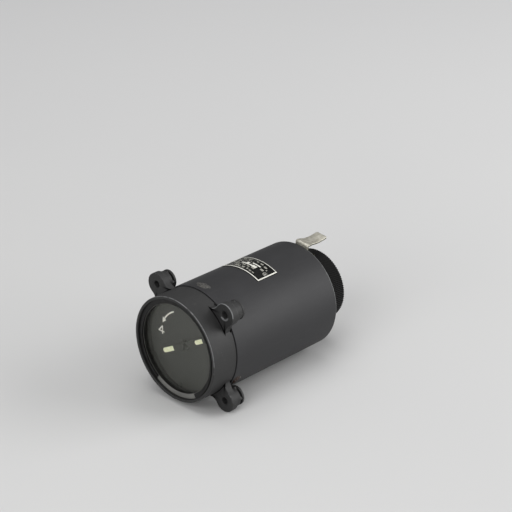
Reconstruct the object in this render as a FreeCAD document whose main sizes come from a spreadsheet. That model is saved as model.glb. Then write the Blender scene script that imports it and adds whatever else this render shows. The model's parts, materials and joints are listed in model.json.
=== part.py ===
import FreeCAD, Part
import math
import os
import re

import Sketcher

# Engine synchronizer indicator, a round panel instrument.
# The origin is the centre of the lug holes' circle on the lugs' front faces.
# +Y runs from the dial to the rear, +Z is up and +X is to the right seen from the front.
# A turn is an angle about Y from upright, counter-clockwise seen from the front.

doc = FreeCAD.newDocument("synchronizer_indicator")

# Driving dimensions: millimetres, and degrees for turns and spreads
sizes = {
    # Front housing
    "rim_reach": 15.5,
    "seam_reach": 6.4,
    "drum_step": 0.65,
    "rim_ease": 0.7,
    "seam_ease": 0.35,
    "mouth_ease": 0.3,
    "pocket_wall": 2.05,
    "ledge_width": 1.0,
    "rim_lip": 1.4,
    "groove_depth": 0.7,
    "flange_width": 5.4,
    "flange_thickness": 5.0,
    "spigot_length": 12.6,
    "spigot_play": 0.1,
    "spigot_wall": 1.8,
    # Lugs
    "lug_count": 4,
    "lug_angle": 45.0,
    "lug_stand": 8.15,
    "lug_hole_radius": 2.6,
    "lug_tip_radius": 8.4,
    "lug_plate": 5.4,
    "lug_depth": 12.8,
    "lug_gap": 0.3,
    "lug_root_spread": 19.6,
    "lug_root_sink": 1.2,
    "lug_flare_radius": 9.8,
    # Captive nut plates
    "nut_thickness": 1.5,
    "nut_slot_width": 1.8,
    "nut_slot_wall": 1.6,
    "nut_slot_floor": 4.9,
    "nut_half_width": 5.4,
    "nut_reach": 5.0,
    "nut_floor_gap": 0.2,
    "nut_bore_radius": 2.1,
    # Glass, its gasket, washer and snap ring
    "snap_thickness": 0.9,
    "snap_width": 4.3,
    "snap_play": 0.1,
    "snap_gap_spread": 60.0,
    "snap_gap_angle": 182.0,
    "washer_thickness": 1.5,
    "washer_width": 3.7,
    "glass_thickness": 1.8,
    "glass_play": 0.3,
    "glass_ease": 0.25,
    "gasket_thickness": 0.5,
    # Dial
    "dial_depth": 10.8,
    "dial_thickness": 0.8,
    "dial_play": 0.2,
    "dial_bore_radius": 3.4,
    "dial_screw_count": 2,
    "dial_screw_angle": 172.0,
    "dial_screw_inset": 2.0,
    "dial_head_radius": 1.5,
    "dial_head_height": 0.8,
    "dial_shank_radius": 0.8,
    "dial_shank_length": 3.6,
    # Pointer
    "pointer_angle": 119.4,
    "pointer_rise": 1.8,
    "pointer_thickness": 0.5,
    "pointer_half_width": 2.1,
    "pointer_long_reach": 23.3,
    "pointer_short_reach": 22.8,
    "pointer_eye_radius": 4.2,
    "lume_thickness": 0.2,
    "long_lume_start": 11.0,
    "long_lume_end": 22.5,
    "long_lume_half_width": 1.75,
    "short_lume_start": 14.0,
    "short_lume_end": 22.0,
    "short_lume_half_width": 1.6,
    "hub_radius": 2.6,
    "hub_length": 1.2,
    "cap_radius": 2.9,
    "cap_height": 2.4,
    "cap_ease": 0.7,
    "cap_floor": 0.7,
    # Rotor shaft
    "nose_radius": 1.0,
    "journal_radius": 2.0,
    "shaft_radius": 3.0,
    "nose_length": 4.0,
    "press_gap": 0.02,
    "shaft_end_gap": 0.3,
    "shaft_tail": 1.0,
    # Bearings
    "bearing_width": 5.0,
    "bearing_outer_radius": 6.5,
    "race_wall": 1.3,
    "ball_radius": 1.15,
    "ball_play": 0.05,
    "ball_count": 9,
    # Bearing brackets
    "bracket_thickness": 3.0,
    "bracket_play": 0.3,
    "boss_wall": 4.0,
    "seat_floor": 0.5,
    "seat_hole_radius": 4.5,
    "window_count": 3,
    "window_web": 2.9,
    "window_angle": 60.0,
    "rear_bracket_play": 0.4,
    "bracket_screw_count": 3,
    "bracket_screw_inset": 2.8,
    "bracket_screw_length": 3.6,
    # Spacers, tie bolts
    "tie_count": 3,
    "tie_angle": 60.0,
    "tie_inset": 3.3,
    "tie_radius": 1.5,
    "tie_head_radius": 2.6,
    "tie_head_height": 2.4,
    "spacer_radius": 2.6,
    "front_spacer_length": 16.0,
    "rear_spacer_length": 26.0,
    # Stator
    "stator_length": 26.0,
    "stator_play": 0.5,
    "stator_slot_count": 12,
    "stator_slot_half_width": 2.2,
    "stator_web": 2.9,
    "slot_play": 0.2,
    "end_turn_gap": 0.3,
    "stator_end_turn": 5.3,
    "end_turn_step": 0.8,
    # Rotor
    "rotor_radius": 17.0,
    "air_gap": 0.4,
    "rotor_length": 25.0,
    "rotor_slot_count": 8,
    "rotor_slot_half_width": 2.0,
    "rotor_slot_depth": 7.5,
    "rotor_end_turn": 5.0,
    "rotor_end_turn_wall": 2.4,
    # Slip rings and brushes
    "sleeve_radius": 6.2,
    "sleeve_start": 52.2,
    "sleeve_length": 17.6,
    "ring_count": 3,
    "ring_wall": 1.4,
    "ring_width": 3.0,
    "ring_pitch": 5.5,
    "ring_lead": 2.0,
    "block_floor": 14.0,
    "block_height": 6.0,
    "block_half_width": 5.0,
    "block_length": 19.0,
    "block_screw_place": 17.0,
    "block_screw_aside": 3.0,
    "block_screw_length": 9.0,
    "brush_half_width": 1.2,
    "brush_thickness": 0.4,
    "brush_gap": 0.15,
    "brush_lean": 3.4,
    "brush_tail": 2.4,
    "brush_tail_rise": 0.5,
    # Case
    "case_radius": 40.0,
    "case_wall": 1.6,
    "case_reach": 109.5,
    "case_edge": 0.3,
    "case_ledge_width": 3.9,
    "case_ledge_thickness": 3.0,
    "case_screw_count": 3,
    "case_screw_reach": 13.1,
    "case_screw_radius": 0.95,
    "case_screw_length": 3.0,
    "case_head_radius": 1.7,
    "case_head_height": 1.2,
    "case_head_sink": 0.8,
    "case_head_play": 0.2,
    # Lumps of sealing compound over the case screws
    "seal_half_width": 2.6,
    "seal_half_length": 4.9,
    "seal_sink": 0.4,
    "seal_height": 1.1,
    "seal_slope_angle": 35.0,
    "seal_gap": 0.02,
    # Data plate
    "plate_start": 50.0,
    "plate_length": 19.6,
    "plate_spread": 52.0,
    "plate_thickness": 0.4,
    "plate_gap": 0.02,
    "plate_pin_end_spread": 4.0,
    "plate_pin_count": 2,
    "plate_pin_radius": 0.55,
    "plate_pin_head_radius": 1.0,
    "plate_pin_head_height": 0.45,
    "plate_pin_length": 1.5,
    # Rear cover
    "cover_play": 0.2,
    "cover_thickness": 2.7,
    "cover_set_back": 0.3,
    "cover_gasket_thickness": 0.6,
    "cover_screw_count": 6,
    "cover_screw_angle": 24.0,
    "cover_screw_inset": 2.0,
    "cover_screw_radius": 1.0,
    "cover_screw_length": 4.6,
    "cover_head_radius": 1.7,
    "cover_head_height": 1.2,
    "cover_head_sink": 1.3,
    # Connector
    "neck_wall": 1.4,
    "neck_play": 0.1,
    "neck_set_back": 2.0,
    "neck_shoulder": 1.4,
    "shell_flange_width": 4.8,
    "shell_flange_thickness": 2.0,
    "block_disc_front": 2.6,
    "block_disc_thickness": 7.0,
    "block_disc_play": 0.05,
    "pin_count": 6,
    "pin_angle": 30.0,
    "pin_circle_inset": 8.1,
    "pin_radius": 1.25,
    "pin_tail_radius": 0.9,
    "pin_tail_length": 4.0,
    "pin_reach": 9.0,
    "pin_ease": 0.6,
    "shell_screw_count": 4,
    "shell_screw_angle": 45.0,
    "shell_screw_stand": 2.4,
    "shell_screw_radius": 1.0,
    "shell_screw_length": 3.6,
    "shell_head_radius": 1.8,
    "shell_head_height": 1.4,
    # Knurled ring and its clip
    "knurl_inset": 12.5,
    "knurl_depth": 0.55,
    "knurl_count": 96,
    "knurl_reach": 23.3,
    "knurl_gap": 0.5,
    "knurl_ease": 0.6,
    "collar_thickness": 3.0,
    "collar_play": 0.3,
    "knurl_wall": 3.5,
    "plug_room": 4.0,
    "thread_depth": 0.5,
    "thread_pitch": 1.5,
    "thread_count": 10,
    "thread_lead": 1.2,
    "clip_play": 0.3,
    "clip_thickness": 1.0,
    "clip_width": 2.6,
    "clip_groove_depth": 0.7,
    "clip_gap_spread": 40.0,
    "clip_seat_play": 0.05,
    # Sliding latch
    "latch_angle": 6.0,
    "latch_thickness": 1.5,
    "latch_half_width": 6.0,
    "latch_gap": 0.3,
    "latch_tooth_gap": 0.3,
    "latch_tooth_half_width": 1.4,
    "latch_tooth_height": 1.6,
    "latch_slot_web": 1.0,
    "latch_top_rise": 3.3,
    "latch_dip": 2.3,
    "latch_bend_radius": 2.4,
    "latch_tab_reach": 22.8,
    "latch_dip_place": 13.0,
    "latch_tip_dip": 1.2,
    "latch_shoulder_reach": 7.5,
    "latch_tongue_half_width": 5.0,
    "latch_slot_half_width": 1.3,
    "latch_slot_set_in": 0.2,
    "guide_half_width": 11.0,
    "guide_gap": 1.2,
    "guide_edge_gap": 0.2,
    "guide_thickness": 1.5,
    "guide_play": 0.3,
    "guide_screw_aside": 8.7,
    "guide_screw_radius": 1.0,
    "guide_screw_length": 4.6,
    "guide_head_radius": 1.7,
    "guide_head_height": 1.1,
    "guide_pin_half_width": 0.9,
    "guide_pin_height": 1.6,
    "spring_radius": 0.6,
    # Wires
    "wire_radius": 0.5,
    "wire_gap": 0.1,
    "wire_aside_share": 0.6,
    "wire_first_run": 6.0,
    "wire_bend_reach": 82.0,
    "wire_bend_share": 0.45,
    # Shared
    "small_screw_radius": 1.0,
    "hole_play": 0.1,
    "slot_share": 0.3,
    "overrun": 20.0,
}

# Places and sizes that follow from the driving dimensions
places = {
    "rim_front": "-rim_reach",
    "snap_front": "rim_front + rim_lip",
    "snap_back": "snap_front + snap_thickness",
    "washer_back": "snap_back + washer_thickness",
    "glass_back": "washer_back + glass_thickness",
    "glass_ledge": "glass_back + gasket_thickness",
    "dial_front": "rim_front + dial_depth",
    "dial_back": "dial_front + dial_thickness",
    "flange_back": "dial_back + flange_thickness",
    "spigot_back": "seam_reach + spigot_length",
    "drum_radius": "case_radius - drum_step",
    "pocket_radius": "drum_radius - pocket_wall",
    "groove_radius": "pocket_radius + groove_depth",
    "ledge_radius": "pocket_radius - ledge_width",
    "flange_bore": "ledge_radius - flange_width",
    "case_bore": "case_radius - case_wall",
    "spigot_radius": "case_bore - spigot_play",
    "spigot_bore": "spigot_radius - spigot_wall",
    "lug_circle": "drum_radius + lug_stand",
    "boss_radius": "lug_circle - case_radius - lug_gap",
    "slot_back": "lug_depth - nut_slot_wall",
    "slot_front": "slot_back - nut_slot_width",
    "slot_floor": "lug_circle - nut_slot_floor",
    "snap_outer": "groove_radius - snap_play",
    "glass_radius": "pocket_radius - glass_play",
    "dial_radius": "ledge_radius - dial_play",
    "dial_screw_place": "dial_radius - dial_screw_inset",
    "pointer_back": "dial_front - pointer_rise",
    "pointer_front": "pointer_back - pointer_thickness",
    "bracket_front": "flange_back",
    "bracket_back": "bracket_front + bracket_thickness",
    "bracket_radius": "spigot_bore - bracket_play",
    "front_seat": "bracket_front + bracket_thickness + seat_floor",
    "front_seat_end": "front_seat + bearing_width",
    "boss_outer": "bearing_outer_radius + boss_wall",
    "stator_front": "bracket_back + front_spacer_length",
    "stator_back": "stator_front + stator_length",
    "rear_bracket_front": "stator_back + rear_spacer_length",
    "rear_bracket_back": "rear_bracket_front + bracket_thickness",
    "rear_seat": "rear_bracket_back + seat_floor",
    "rear_seat_end": "rear_seat + bearing_width",
    "rear_bracket_radius": "case_bore - rear_bracket_play",
    "plate_pin_spread": "plate_spread - 2 * plate_pin_end_spread",
    "bracket_screw_place": "bracket_radius - bracket_screw_inset",
    "tie_place": "bracket_radius - tie_inset",
    "tie_hole_radius": "tie_radius + hole_play",
    "window_place": "(boss_outer + tie_place - spacer_radius) / 2",
    "window_radius": "(tie_place - spacer_radius - boss_outer) / 2 - window_web",
    "stator_slot_end": "tie_place - tie_radius - stator_web",
    "bearing_inner_radius": "journal_radius + press_gap",
    "ball_circle": "(bearing_outer_radius - race_wall + bearing_inner_radius + race_wall) / 2",
    "shaft_start": "front_seat_end + shaft_end_gap",
    "shaft_end": "rear_seat - shaft_end_gap",
    "nose_end": "dial_front + nose_length",
    "tail_end": "rear_seat_end + shaft_tail",
    "stator_radius": "case_bore - stator_play",
    "stator_bore": "rotor_radius + air_gap",
    "rotor_front": "stator_front + (stator_length - rotor_length) / 2",
    "rotor_back": "rotor_front + rotor_length",
    "shaft_seat": "shaft_radius + press_gap",
    "ring_inner": "sleeve_radius + press_gap",
    "ring_outer": "sleeve_radius + ring_wall",
    "block_front": "rear_bracket_front - block_length",
    "ledge_back": "case_reach - cover_set_back - cover_thickness - cover_gasket_thickness",
    "ledge_front": "ledge_back - case_ledge_thickness",
    "ledge_bore": "case_bore - case_ledge_width",
    "cover_front": "ledge_back + cover_gasket_thickness",
    "cover_back": "cover_front + cover_thickness",
    "cover_radius": "case_bore - cover_play",
    "cover_screw_place": "case_bore - cover_screw_inset",
    "knurl_radius": "case_radius - knurl_inset",
    "thread_radius": "knurl_radius - knurl_wall",
    "neck_radius": "thread_radius - plug_room",
    "shell_flange_radius": "neck_radius + shell_flange_width",
    "shell_screw_place": "neck_radius + shell_screw_stand",
    "cover_hole_radius": "neck_radius + neck_play",
    "flange_front": "cover_front - shell_flange_thickness",
    "knurl_front": "cover_back + knurl_gap",
    "knurl_back": "case_reach + knurl_reach",
    "collar_back": "knurl_front + collar_thickness",
    "clip_front": "collar_back + clip_play",
    "clip_back": "clip_front + clip_thickness",
    "clip_inner": "neck_radius - clip_groove_depth + clip_seat_play",
    "neck_end": "knurl_back - neck_set_back",
    "neck_bore": "neck_radius - neck_wall",
    "shoulder_bore": "neck_bore - neck_shoulder",
    "pin_circle_radius": "neck_bore - pin_circle_inset",
    "disc_front": "cover_front + block_disc_front",
    "disc_back": "disc_front + block_disc_thickness",
    "disc_radius": "neck_bore - block_disc_play",
    "pin_front": "disc_front - pin_tail_length",
    "pin_back": "disc_back + pin_reach",
    "latch_front": "case_reach + latch_gap",
    "latch_back": "latch_front + latch_thickness",
    "latch_start": "knurl_radius + latch_tooth_gap",
    "latch_top": "case_radius + latch_top_rise",
    "latch_tip": "case_reach + latch_tab_reach",
    "latch_low": "latch_top - latch_dip",
    "latch_low_place": "case_reach + latch_dip_place",
    "latch_tip_top": "latch_top - latch_tip_dip",
    "channel_back": "latch_back + guide_play",
    "guide_back": "channel_back + guide_thickness",
    "channel_half_width": "latch_half_width + guide_play",
    "guide_start": "knurl_radius + guide_gap",
    "guide_end": "sqrt(cover_radius ^ 2 - guide_half_width ^ 2) - guide_edge_gap",
    "guide_middle": "(guide_start + guide_end) / 2",
    "latch_slot_start": "latch_start + latch_tooth_height + latch_slot_web",
    "latch_slot_end": "guide_end - latch_slot_set_in",
    "guide_pin_top": "latch_slot_end - press_gap",
    "guide_pin_floor": "guide_pin_top - guide_pin_height",
    "latch_slot_middle": "(latch_front + latch_back) / 2",
}

sheet = doc.addObject("Spreadsheet::Sheet", "Sizes")
for row, (name, number) in enumerate(sizes.items(), 1):
    sheet.set(f"A{row}", name)
    sheet.set(f"B{row}", str(number))
    sheet.setAlias(f"B{row}", name)
doc.recompute()

nodes = []


# Formulas are written with the names above; the sheet works them out
def sized(formula):
    def put(match):
        word = match.group(0)
        if word in places:
            return "(" + sized(places[word]) + ")"
        return "Sizes." + word if word in sizes else word

    return re.sub(r"[a-z_]+", put, formula)


def value(formula):
    return float(sheet.evalExpression(sized(formula)))


def bind(thing, setting, formula):
    thing.setExpression(setting, sized(formula))


# Bodies, sketches and their outlines
def new_body(label):
    body = doc.addObject("PartDesign::Body", label + "_body")
    body.Label = label
    nodes.append(body)
    return body


def origin_part(body, role):
    return next(item for item in body.Origin.OriginFeatures if item.Role == role)


def new_sketch(body, role, name, shift=("0", "0", "0"), axis=(0, 0, 1), turn="0"):
    sketch = body.newObject("Sketcher::SketchObject", name + "_sketch")
    sketch.AttachmentSupport = (origin_part(body, role), [""])
    sketch.MapMode = "FlatFace"
    spin = "create(<<rotation>>; create(<<vector>>; {}; {}; {}); {})".format(*axis, sized(turn))
    move = "create(<<vector>>; {}; {}; {})".format(*map(sized, shift))
    sketch.setExpression("AttachmentOffset", f"create(<<placement>>; {move}; {spin})")
    return sketch


# A sketch seen from the front at the place y: x to the right, y up, the whole of it turned
def front_sketch(body, name, y="0", turn="0"):
    return new_sketch(body, "XZ_Plane", name, shift=("0", "0", f"-({y})"), turn=turn)


# A sketch in an upright plane through the axis: x to the rear, y outwards
def side_sketch(body, name, y="0", off="0", turn="0"):
    return new_sketch(body, "YZ_Plane", name, shift=(y, off, "0"), axis=(1, 0, 0), turn=turn)


# A sketch seen from above at a height: x to the right, y to the rear
def top_sketch(body, name, height="0"):
    return new_sketch(body, "XY_Plane", name, shift=("0", "0", height))


def hold(sketch, kind, *where, formula):
    index = sketch.addConstraint(Sketcher.Constraint(kind, *where, value(formula)))
    sketch.setExpression(f"Constraints[{index}]", sized(formula))


def hold_point(sketch, geometry, end, x, y):
    for kind, formula, axis in (("DistanceX", x, -2), ("DistanceY", y, -1)):
        if formula == "0":
            sketch.addConstraint(Sketcher.Constraint("PointOnObject", geometry, end, axis))
        else:
            hold(sketch, kind, -1, 1, geometry, end, formula=formula)


def ccw_arc(centre, radius, start, end):
    circle = Part.Circle(centre, FreeCAD.Vector(0, 0, 1), radius)
    angles = [math.atan2(point.y - centre.y, point.x - centre.x) for point in (start, end)]
    return Part.ArcOfCircle(circle, *angles)


# A closed outline. A corner is (x, y), or (x, y, radius, side) where an arc runs to the next corner
# with its centre on that side of the way there, or (x, y, "half") where a half circle does.
def outline(sketch, corners):
    points = [FreeCAD.Vector(value(corner[0]), value(corner[1]), 0) for corner in corners]
    first = sketch.GeometryCount
    ends = []
    for place, corner in enumerate(corners):
        start = points[place]
        end = points[(place + 1) % len(points)]
        half = (end - start) / 2
        ends.append((1, 2))
        if len(corner) == 2:
            sketch.addGeometry(Part.LineSegment(start, end), False)
            continue
        if corner[2] == "half":
            sketch.addGeometry(ccw_arc(start + half, half.Length, start, end), False)
            hold_centre(sketch, first + place, corner, abs(half.x) > abs(half.y))
            continue
        radius = value(corner[2])
        rise = math.sqrt(radius**2 - half.Length**2)
        left = FreeCAD.Vector(-half.y, half.x, 0).normalize()
        if corner[3] == "left":
            sketch.addGeometry(ccw_arc(start + half + left * rise, radius, start, end), False)
        else:
            sketch.addGeometry(ccw_arc(start + half - left * rise, radius, end, start), False)
            ends[-1] = (2, 1)
        hold(sketch, "Radius", first + place, formula=corner[2])
    for place, corner in enumerate(corners):
        following = (place + 1) % len(corners)
        sketch.addConstraint(
            Sketcher.Constraint(
                "Coincident", first + place, ends[place][1], first + following, ends[following][0]
            )
        )
        hold_point(sketch, first + place, ends[place][0], corner[0], corner[1])


# A half circle's centre stays on the line between its ends
def hold_centre(sketch, geometry, corner, level):
    kind, formula, axis = ("DistanceY", corner[1], -1) if level else ("DistanceX", corner[0], -2)
    if formula == "0":
        sketch.addConstraint(Sketcher.Constraint("PointOnObject", geometry, 3, axis))
    else:
        hold(sketch, kind, -1, 1, geometry, 3, formula=formula)


def box_outline(sketch, low_x, high_x, low_y, high_y):
    outline(sketch, [(low_x, low_y), (high_x, low_y), (high_x, high_y), (low_x, high_y)])


def circle(sketch, x, y, radius):
    centre = FreeCAD.Vector(value(x), value(y), 0)
    round_edge = Part.Circle(centre, FreeCAD.Vector(0, 0, 1), value(radius))
    index = sketch.addGeometry(round_edge, False)
    hold_point(sketch, index, 3, x, y)
    hold(sketch, "Radius", index, formula=radius)


# Features
def revolve(body, name, corners, off="0", sweep=None, kind="Revolution", turn="0"):
    sketch = side_sketch(body, name, off=off, turn=turn)
    outline(sketch, [(y, radius) + tuple(rest) for radius, y, *rest in corners])
    return spin_sketch(body, name, sketch, "H_Axis", sweep, kind)


def spin_sketch(body, name, sketch, axis, sweep=None, kind="Revolution"):
    feature = body.newObject("PartDesign::" + kind, name)
    feature.Profile = sketch
    feature.ReferenceAxis = (sketch, [axis])
    feature.Angle = 360
    if sweep:
        bind(feature, "Angle", sweep)
    return feature


def pad(body, name, sketch, length, rearward=True, both=False):
    feature = body.newObject("PartDesign::Pad", name)
    feature.Profile = sketch
    bind(feature, "Length", length)
    feature.Midplane = both
    feature.Reversed = rearward and not both
    return feature


def pocket(body, name, sketch, length="overrun", rearward=True, both=False):
    feature = body.newObject("PartDesign::Pocket", name)
    feature.Profile = sketch
    bind(feature, "Length", length)
    feature.Midplane = both
    feature.Reversed = not rearward and not both
    return feature


def around(body, name, features, count, span=None):
    pattern = body.newObject("PartDesign::PolarPattern", name)
    pattern.Originals = features
    pattern.Axis = (origin_part(body, "Y_Axis"), [""])
    pattern.Angle = 360
    if span:
        bind(pattern, "Angle", span)
    bind(pattern, "Occurrences", count)
    body.Tip = pattern
    return pattern


def stand(body, turn):
    spin = f"create(<<rotation>>; create(<<vector>>; 0; -1; 0); {sized(turn)})"
    body.setExpression("Placement", f"create(<<placement>>; create(<<vector>>; 0; 0; 0); {spin})")


# Round holes along Y, the first one upright and then turned
def round_holes(body, name, place, radius, count, turn="0", y="-overrun", length="case_reach * 2"):
    sketch = front_sketch(body, name, y=y, turn=turn)
    circle(sketch, "0", place, radius)
    cut = pocket(body, name, sketch, length)
    return around(body, name + "_set", [cut], count)


# A screw along Y with a slotted head: out is -1 for a head that faces the front, 1 for the rear
def screw_group(label, place, count, turn, seat, head_radius, head_height, radius, length, out):
    body = new_body(label)
    head = f"{seat} + {out} * {head_height}"
    tip = f"{seat} - {out} * {length}"
    corners = [
        ("0", head),
        (head_radius, head),
        (head_radius, seat),
        (radius, seat),
        (radius, tip),
        ("0", tip),
    ]
    turning = revolve(body, label + "_turning", corners, off=place)
    slot = front_sketch(body, label + "_slot", y=head)
    half = f"{head_radius} * slot_share / 2"
    box_outline(slot, f"-({half})", half, f"{place} - {head_radius} * 2", f"{place} + {head_radius} * 2")
    cut = pocket(body, label + "_slotting", slot, f"{head_height} / 2", rearward=out < 0)
    around(body, label + "_set", [turning, cut], count)
    stand(body, turn)
    return body


# Front housing with its lugs
def circle_meeting(centre, radius, other, other_radius):
    gap = other - centre
    along = (radius**2 - other_radius**2 + gap.Length**2) / (2 * gap.Length)
    aside = math.sqrt(radius**2 - along**2)
    ahead = FreeCAD.Vector(gap).normalize()
    return centre + ahead * along + FreeCAD.Vector(-ahead.y, ahead.x, 0) * aside


def lug_outline(sketch):
    tip = FreeCAD.Vector(0, value("lug_circle"), 0)
    tip_radius = value("lug_tip_radius")
    flare = value("lug_flare_radius")
    root = value("drum_radius - lug_root_sink")
    spread = math.radians(value("lug_root_spread"))
    corner = FreeCAD.Vector(root * math.sin(spread), root * math.cos(spread), 0)
    middle = circle_meeting(tip, tip_radius + flare, corner, flare)
    contact = tip + (middle - tip) * (tip_radius / (tip_radius + flare))
    mirror = [FreeCAD.Vector(-point.x, point.y, 0) for point in (corner, middle, contact)]
    sketch.addGeometry(ccw_arc(tip, tip_radius, contact, mirror[2]), False)
    sketch.addGeometry(ccw_arc(mirror[1], flare, mirror[0], mirror[2]), False)
    sketch.addGeometry(ccw_arc(FreeCAD.Vector(0, 0, 0), root, corner, mirror[0]), False)
    sketch.addGeometry(ccw_arc(middle, flare, contact, corner), False)
    hold_point(sketch, 0, 3, "0", "lug_circle")
    hold(sketch, "Radius", 0, formula="lug_tip_radius")
    sketch.addConstraint(Sketcher.Constraint("Coincident", 2, 3, -1, 1))
    hold(sketch, "Radius", 2, formula="drum_radius - lug_root_sink")
    sketch.addConstraint(Sketcher.Constraint("Tangent", 0, 2, 1, 2))
    sketch.addConstraint(Sketcher.Constraint("Tangent", 0, 1, 3, 1))
    sketch.addConstraint(Sketcher.Constraint("Coincident", 1, 1, 2, 2))
    sketch.addConstraint(Sketcher.Constraint("Coincident", 3, 2, 2, 1))
    half = "(drum_radius - lug_root_sink) * sin(lug_root_spread)"
    hold(sketch, "DistanceX", -1, 1, 2, 1, formula=half)
    hold(sketch, "DistanceX", -1, 1, 2, 2, formula=f"-({half})")
    hold(sketch, "Radius", 1, formula="lug_flare_radius")
    hold(sketch, "Radius", 3, formula="lug_flare_radius")


def front_housing():
    body = new_body("front_housing")
    corners = [
        ("drum_radius - rim_ease", "rim_front"),
        ("drum_radius", "rim_front + rim_ease"),
        ("drum_radius", "seam_reach - seam_ease"),
        ("drum_radius - seam_ease", "seam_reach"),
        ("spigot_radius", "seam_reach"),
        ("spigot_radius", "spigot_back"),
        ("spigot_bore", "spigot_back"),
        ("spigot_bore", "flange_back"),
        ("flange_bore", "flange_back"),
        ("flange_bore", "dial_back"),
        ("ledge_radius", "dial_back"),
        ("ledge_radius", "glass_ledge"),
        ("pocket_radius", "glass_ledge"),
        ("pocket_radius", "snap_back"),
        ("groove_radius", "snap_back"),
        ("groove_radius", "snap_front"),
        ("pocket_radius", "snap_front"),
        ("pocket_radius", "rim_front + mouth_ease"),
        ("pocket_radius + mouth_ease", "rim_front"),
    ]
    revolve(body, "housing_turning", corners)
    plate_sketch = front_sketch(body, "lug_plate", turn="lug_angle")
    lug_outline(plate_sketch)
    plate = pad(body, "lug_plate", plate_sketch, "lug_plate")
    boss_sketch = front_sketch(body, "lug_boss", y="lug_plate", turn="lug_angle")
    circle(boss_sketch, "0", "lug_circle", "boss_radius")
    boss = pad(body, "lug_boss", boss_sketch, "lug_depth - lug_plate")
    bore_sketch = front_sketch(body, "lug_bore", turn="lug_angle")
    circle(bore_sketch, "0", "lug_circle", "lug_hole_radius")
    bore = pocket(body, "lug_bore", bore_sketch, "lug_depth")
    slot_sketch = side_sketch(body, "nut_slot", turn="-lug_angle")
    box_outline(slot_sketch, "slot_front", "slot_back", "slot_floor", "lug_circle + overrun")
    slot = pocket(body, "nut_slot", slot_sketch, "lug_tip_radius * 3", both=True)
    around(body, "lugs", [plate, boss, bore, slot], "lug_count")
    hole_sketch = top_sketch(body, "case_screw_hole")
    circle(hole_sketch, "0", "case_screw_reach", "case_screw_radius + press_gap")
    hole = pocket(body, "case_screw_hole", hole_sketch, "case_radius", rearward=False)
    around(body, "case_screw_holes", [hole], "case_screw_count")
    depth = "dial_shank_length + overrun"
    round_holes(
        body, "dial_screw_holes", "dial_screw_place", "dial_shank_radius + press_gap",
        "dial_screw_count", turn="dial_screw_angle", y="dial_back", length="dial_shank_length",
    )
    round_holes(
        body, "bracket_screw_holes", "bracket_screw_place", "small_screw_radius + press_gap",
        "bracket_screw_count", y="flange_back - bracket_screw_length", length=depth,
    )
    return body


def lug_nuts():
    body = new_body("lug_nuts")
    sketch = front_sketch(body, "nut", y="slot_front", turn="lug_angle")
    box_outline(
        sketch, "-nut_half_width", "nut_half_width", "slot_floor + nut_floor_gap", "lug_circle + nut_reach"
    )
    circle(sketch, "0", "lug_circle", "nut_bore_radius")
    plate = pad(body, "nut_plate", sketch, "nut_thickness")
    around(body, "nut_set", [plate], "lug_count")


# Glass, gasket, washer and snap ring
def snap_ring():
    body = new_body("snap_ring")
    inner = "snap_outer - snap_width"
    corners = [
        (inner, "snap_front"),
        ("snap_outer", "snap_front"),
        ("snap_outer", "snap_back"),
        (inner, "snap_back"),
    ]
    revolve(body, "snap_turning", corners, sweep="360 - snap_gap_spread")
    stand(body, "snap_gap_angle - snap_gap_spread / 2")


def cover_glass():
    body = new_body("cover_glass")
    corners = [
        ("0", "washer_back"),
        ("glass_radius - glass_ease", "washer_back"),
        ("glass_radius", "washer_back + glass_ease"),
        ("glass_radius", "glass_back - glass_ease"),
        ("glass_radius - glass_ease", "glass_back"),
        ("0", "glass_back"),
    ]
    revolve(body, "glass_turning", corners)


def flat_ring(label, inner, outer, front, back):
    body = new_body(label)
    revolve(body, label + "_turning", [(inner, front), (outer, front), (outer, back), (inner, back)])
    return body


# Dial and pointer
def dial_plate():
    body = flat_ring("dial_plate", "dial_bore_radius", "dial_radius", "dial_front", "dial_back")
    round_holes(
        body, "dial_plate_holes", "dial_screw_place", "dial_shank_radius + hole_play",
        "dial_screw_count", turn="dial_screw_angle",
    )


def pointer():
    body = new_body("pointer")
    sketch = front_sketch(body, "pointer_arms", y="pointer_front")
    neck = "sqrt(pointer_eye_radius^2 - pointer_half_width^2)"
    tip = "pointer_long_reach - pointer_half_width"
    corners = [
        ("pointer_half_width", neck),
        ("pointer_half_width", tip, "half"),
        ("-pointer_half_width", tip),
        ("-pointer_half_width", neck, "pointer_eye_radius", "left"),
        ("-pointer_half_width", f"-{neck}"),
        ("-pointer_half_width", "-pointer_short_reach"),
        ("pointer_half_width", "-pointer_short_reach"),
        ("pointer_half_width", f"-{neck}", "pointer_eye_radius", "left"),
    ]
    outline(sketch, corners)
    circle(sketch, "0", "0", "nose_radius + press_gap")
    pad(body, "pointer_blank", sketch, "pointer_thickness")
    stand(body, "pointer_angle")


def pointer_lume():
    body = new_body("pointer_lume")
    sketch = front_sketch(body, "lume", y="pointer_front - lume_thickness")
    long_side = "long_lume_half_width"
    long_tip = "long_lume_end - long_lume_half_width"
    short_side = "short_lume_half_width"
    short_tip = "-(short_lume_start + short_lume_half_width)"
    corners = [
        (long_side, "long_lume_start"),
        (long_side, long_tip, "half"),
        (f"-{long_side}", long_tip),
        (f"-{long_side}", "long_lume_start"),
    ]
    outline(sketch, corners)
    corners = [
        (short_side, "-short_lume_end"),
        (short_side, short_tip, "half"),
        (f"-{short_side}", short_tip),
        (f"-{short_side}", "-short_lume_end"),
    ]
    outline(sketch, corners)
    pad(body, "lume_layer", sketch, "lume_thickness")
    stand(body, "pointer_angle")


def pointer_hub():
    body = new_body("pointer_hub")
    bore = "nose_radius + press_gap"
    back = "pointer_back + hub_length"
    corners = [(bore, "pointer_back"), ("hub_radius", "pointer_back"), ("hub_radius", back), (bore, back)]
    revolve(body, "hub_turning", corners)


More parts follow.
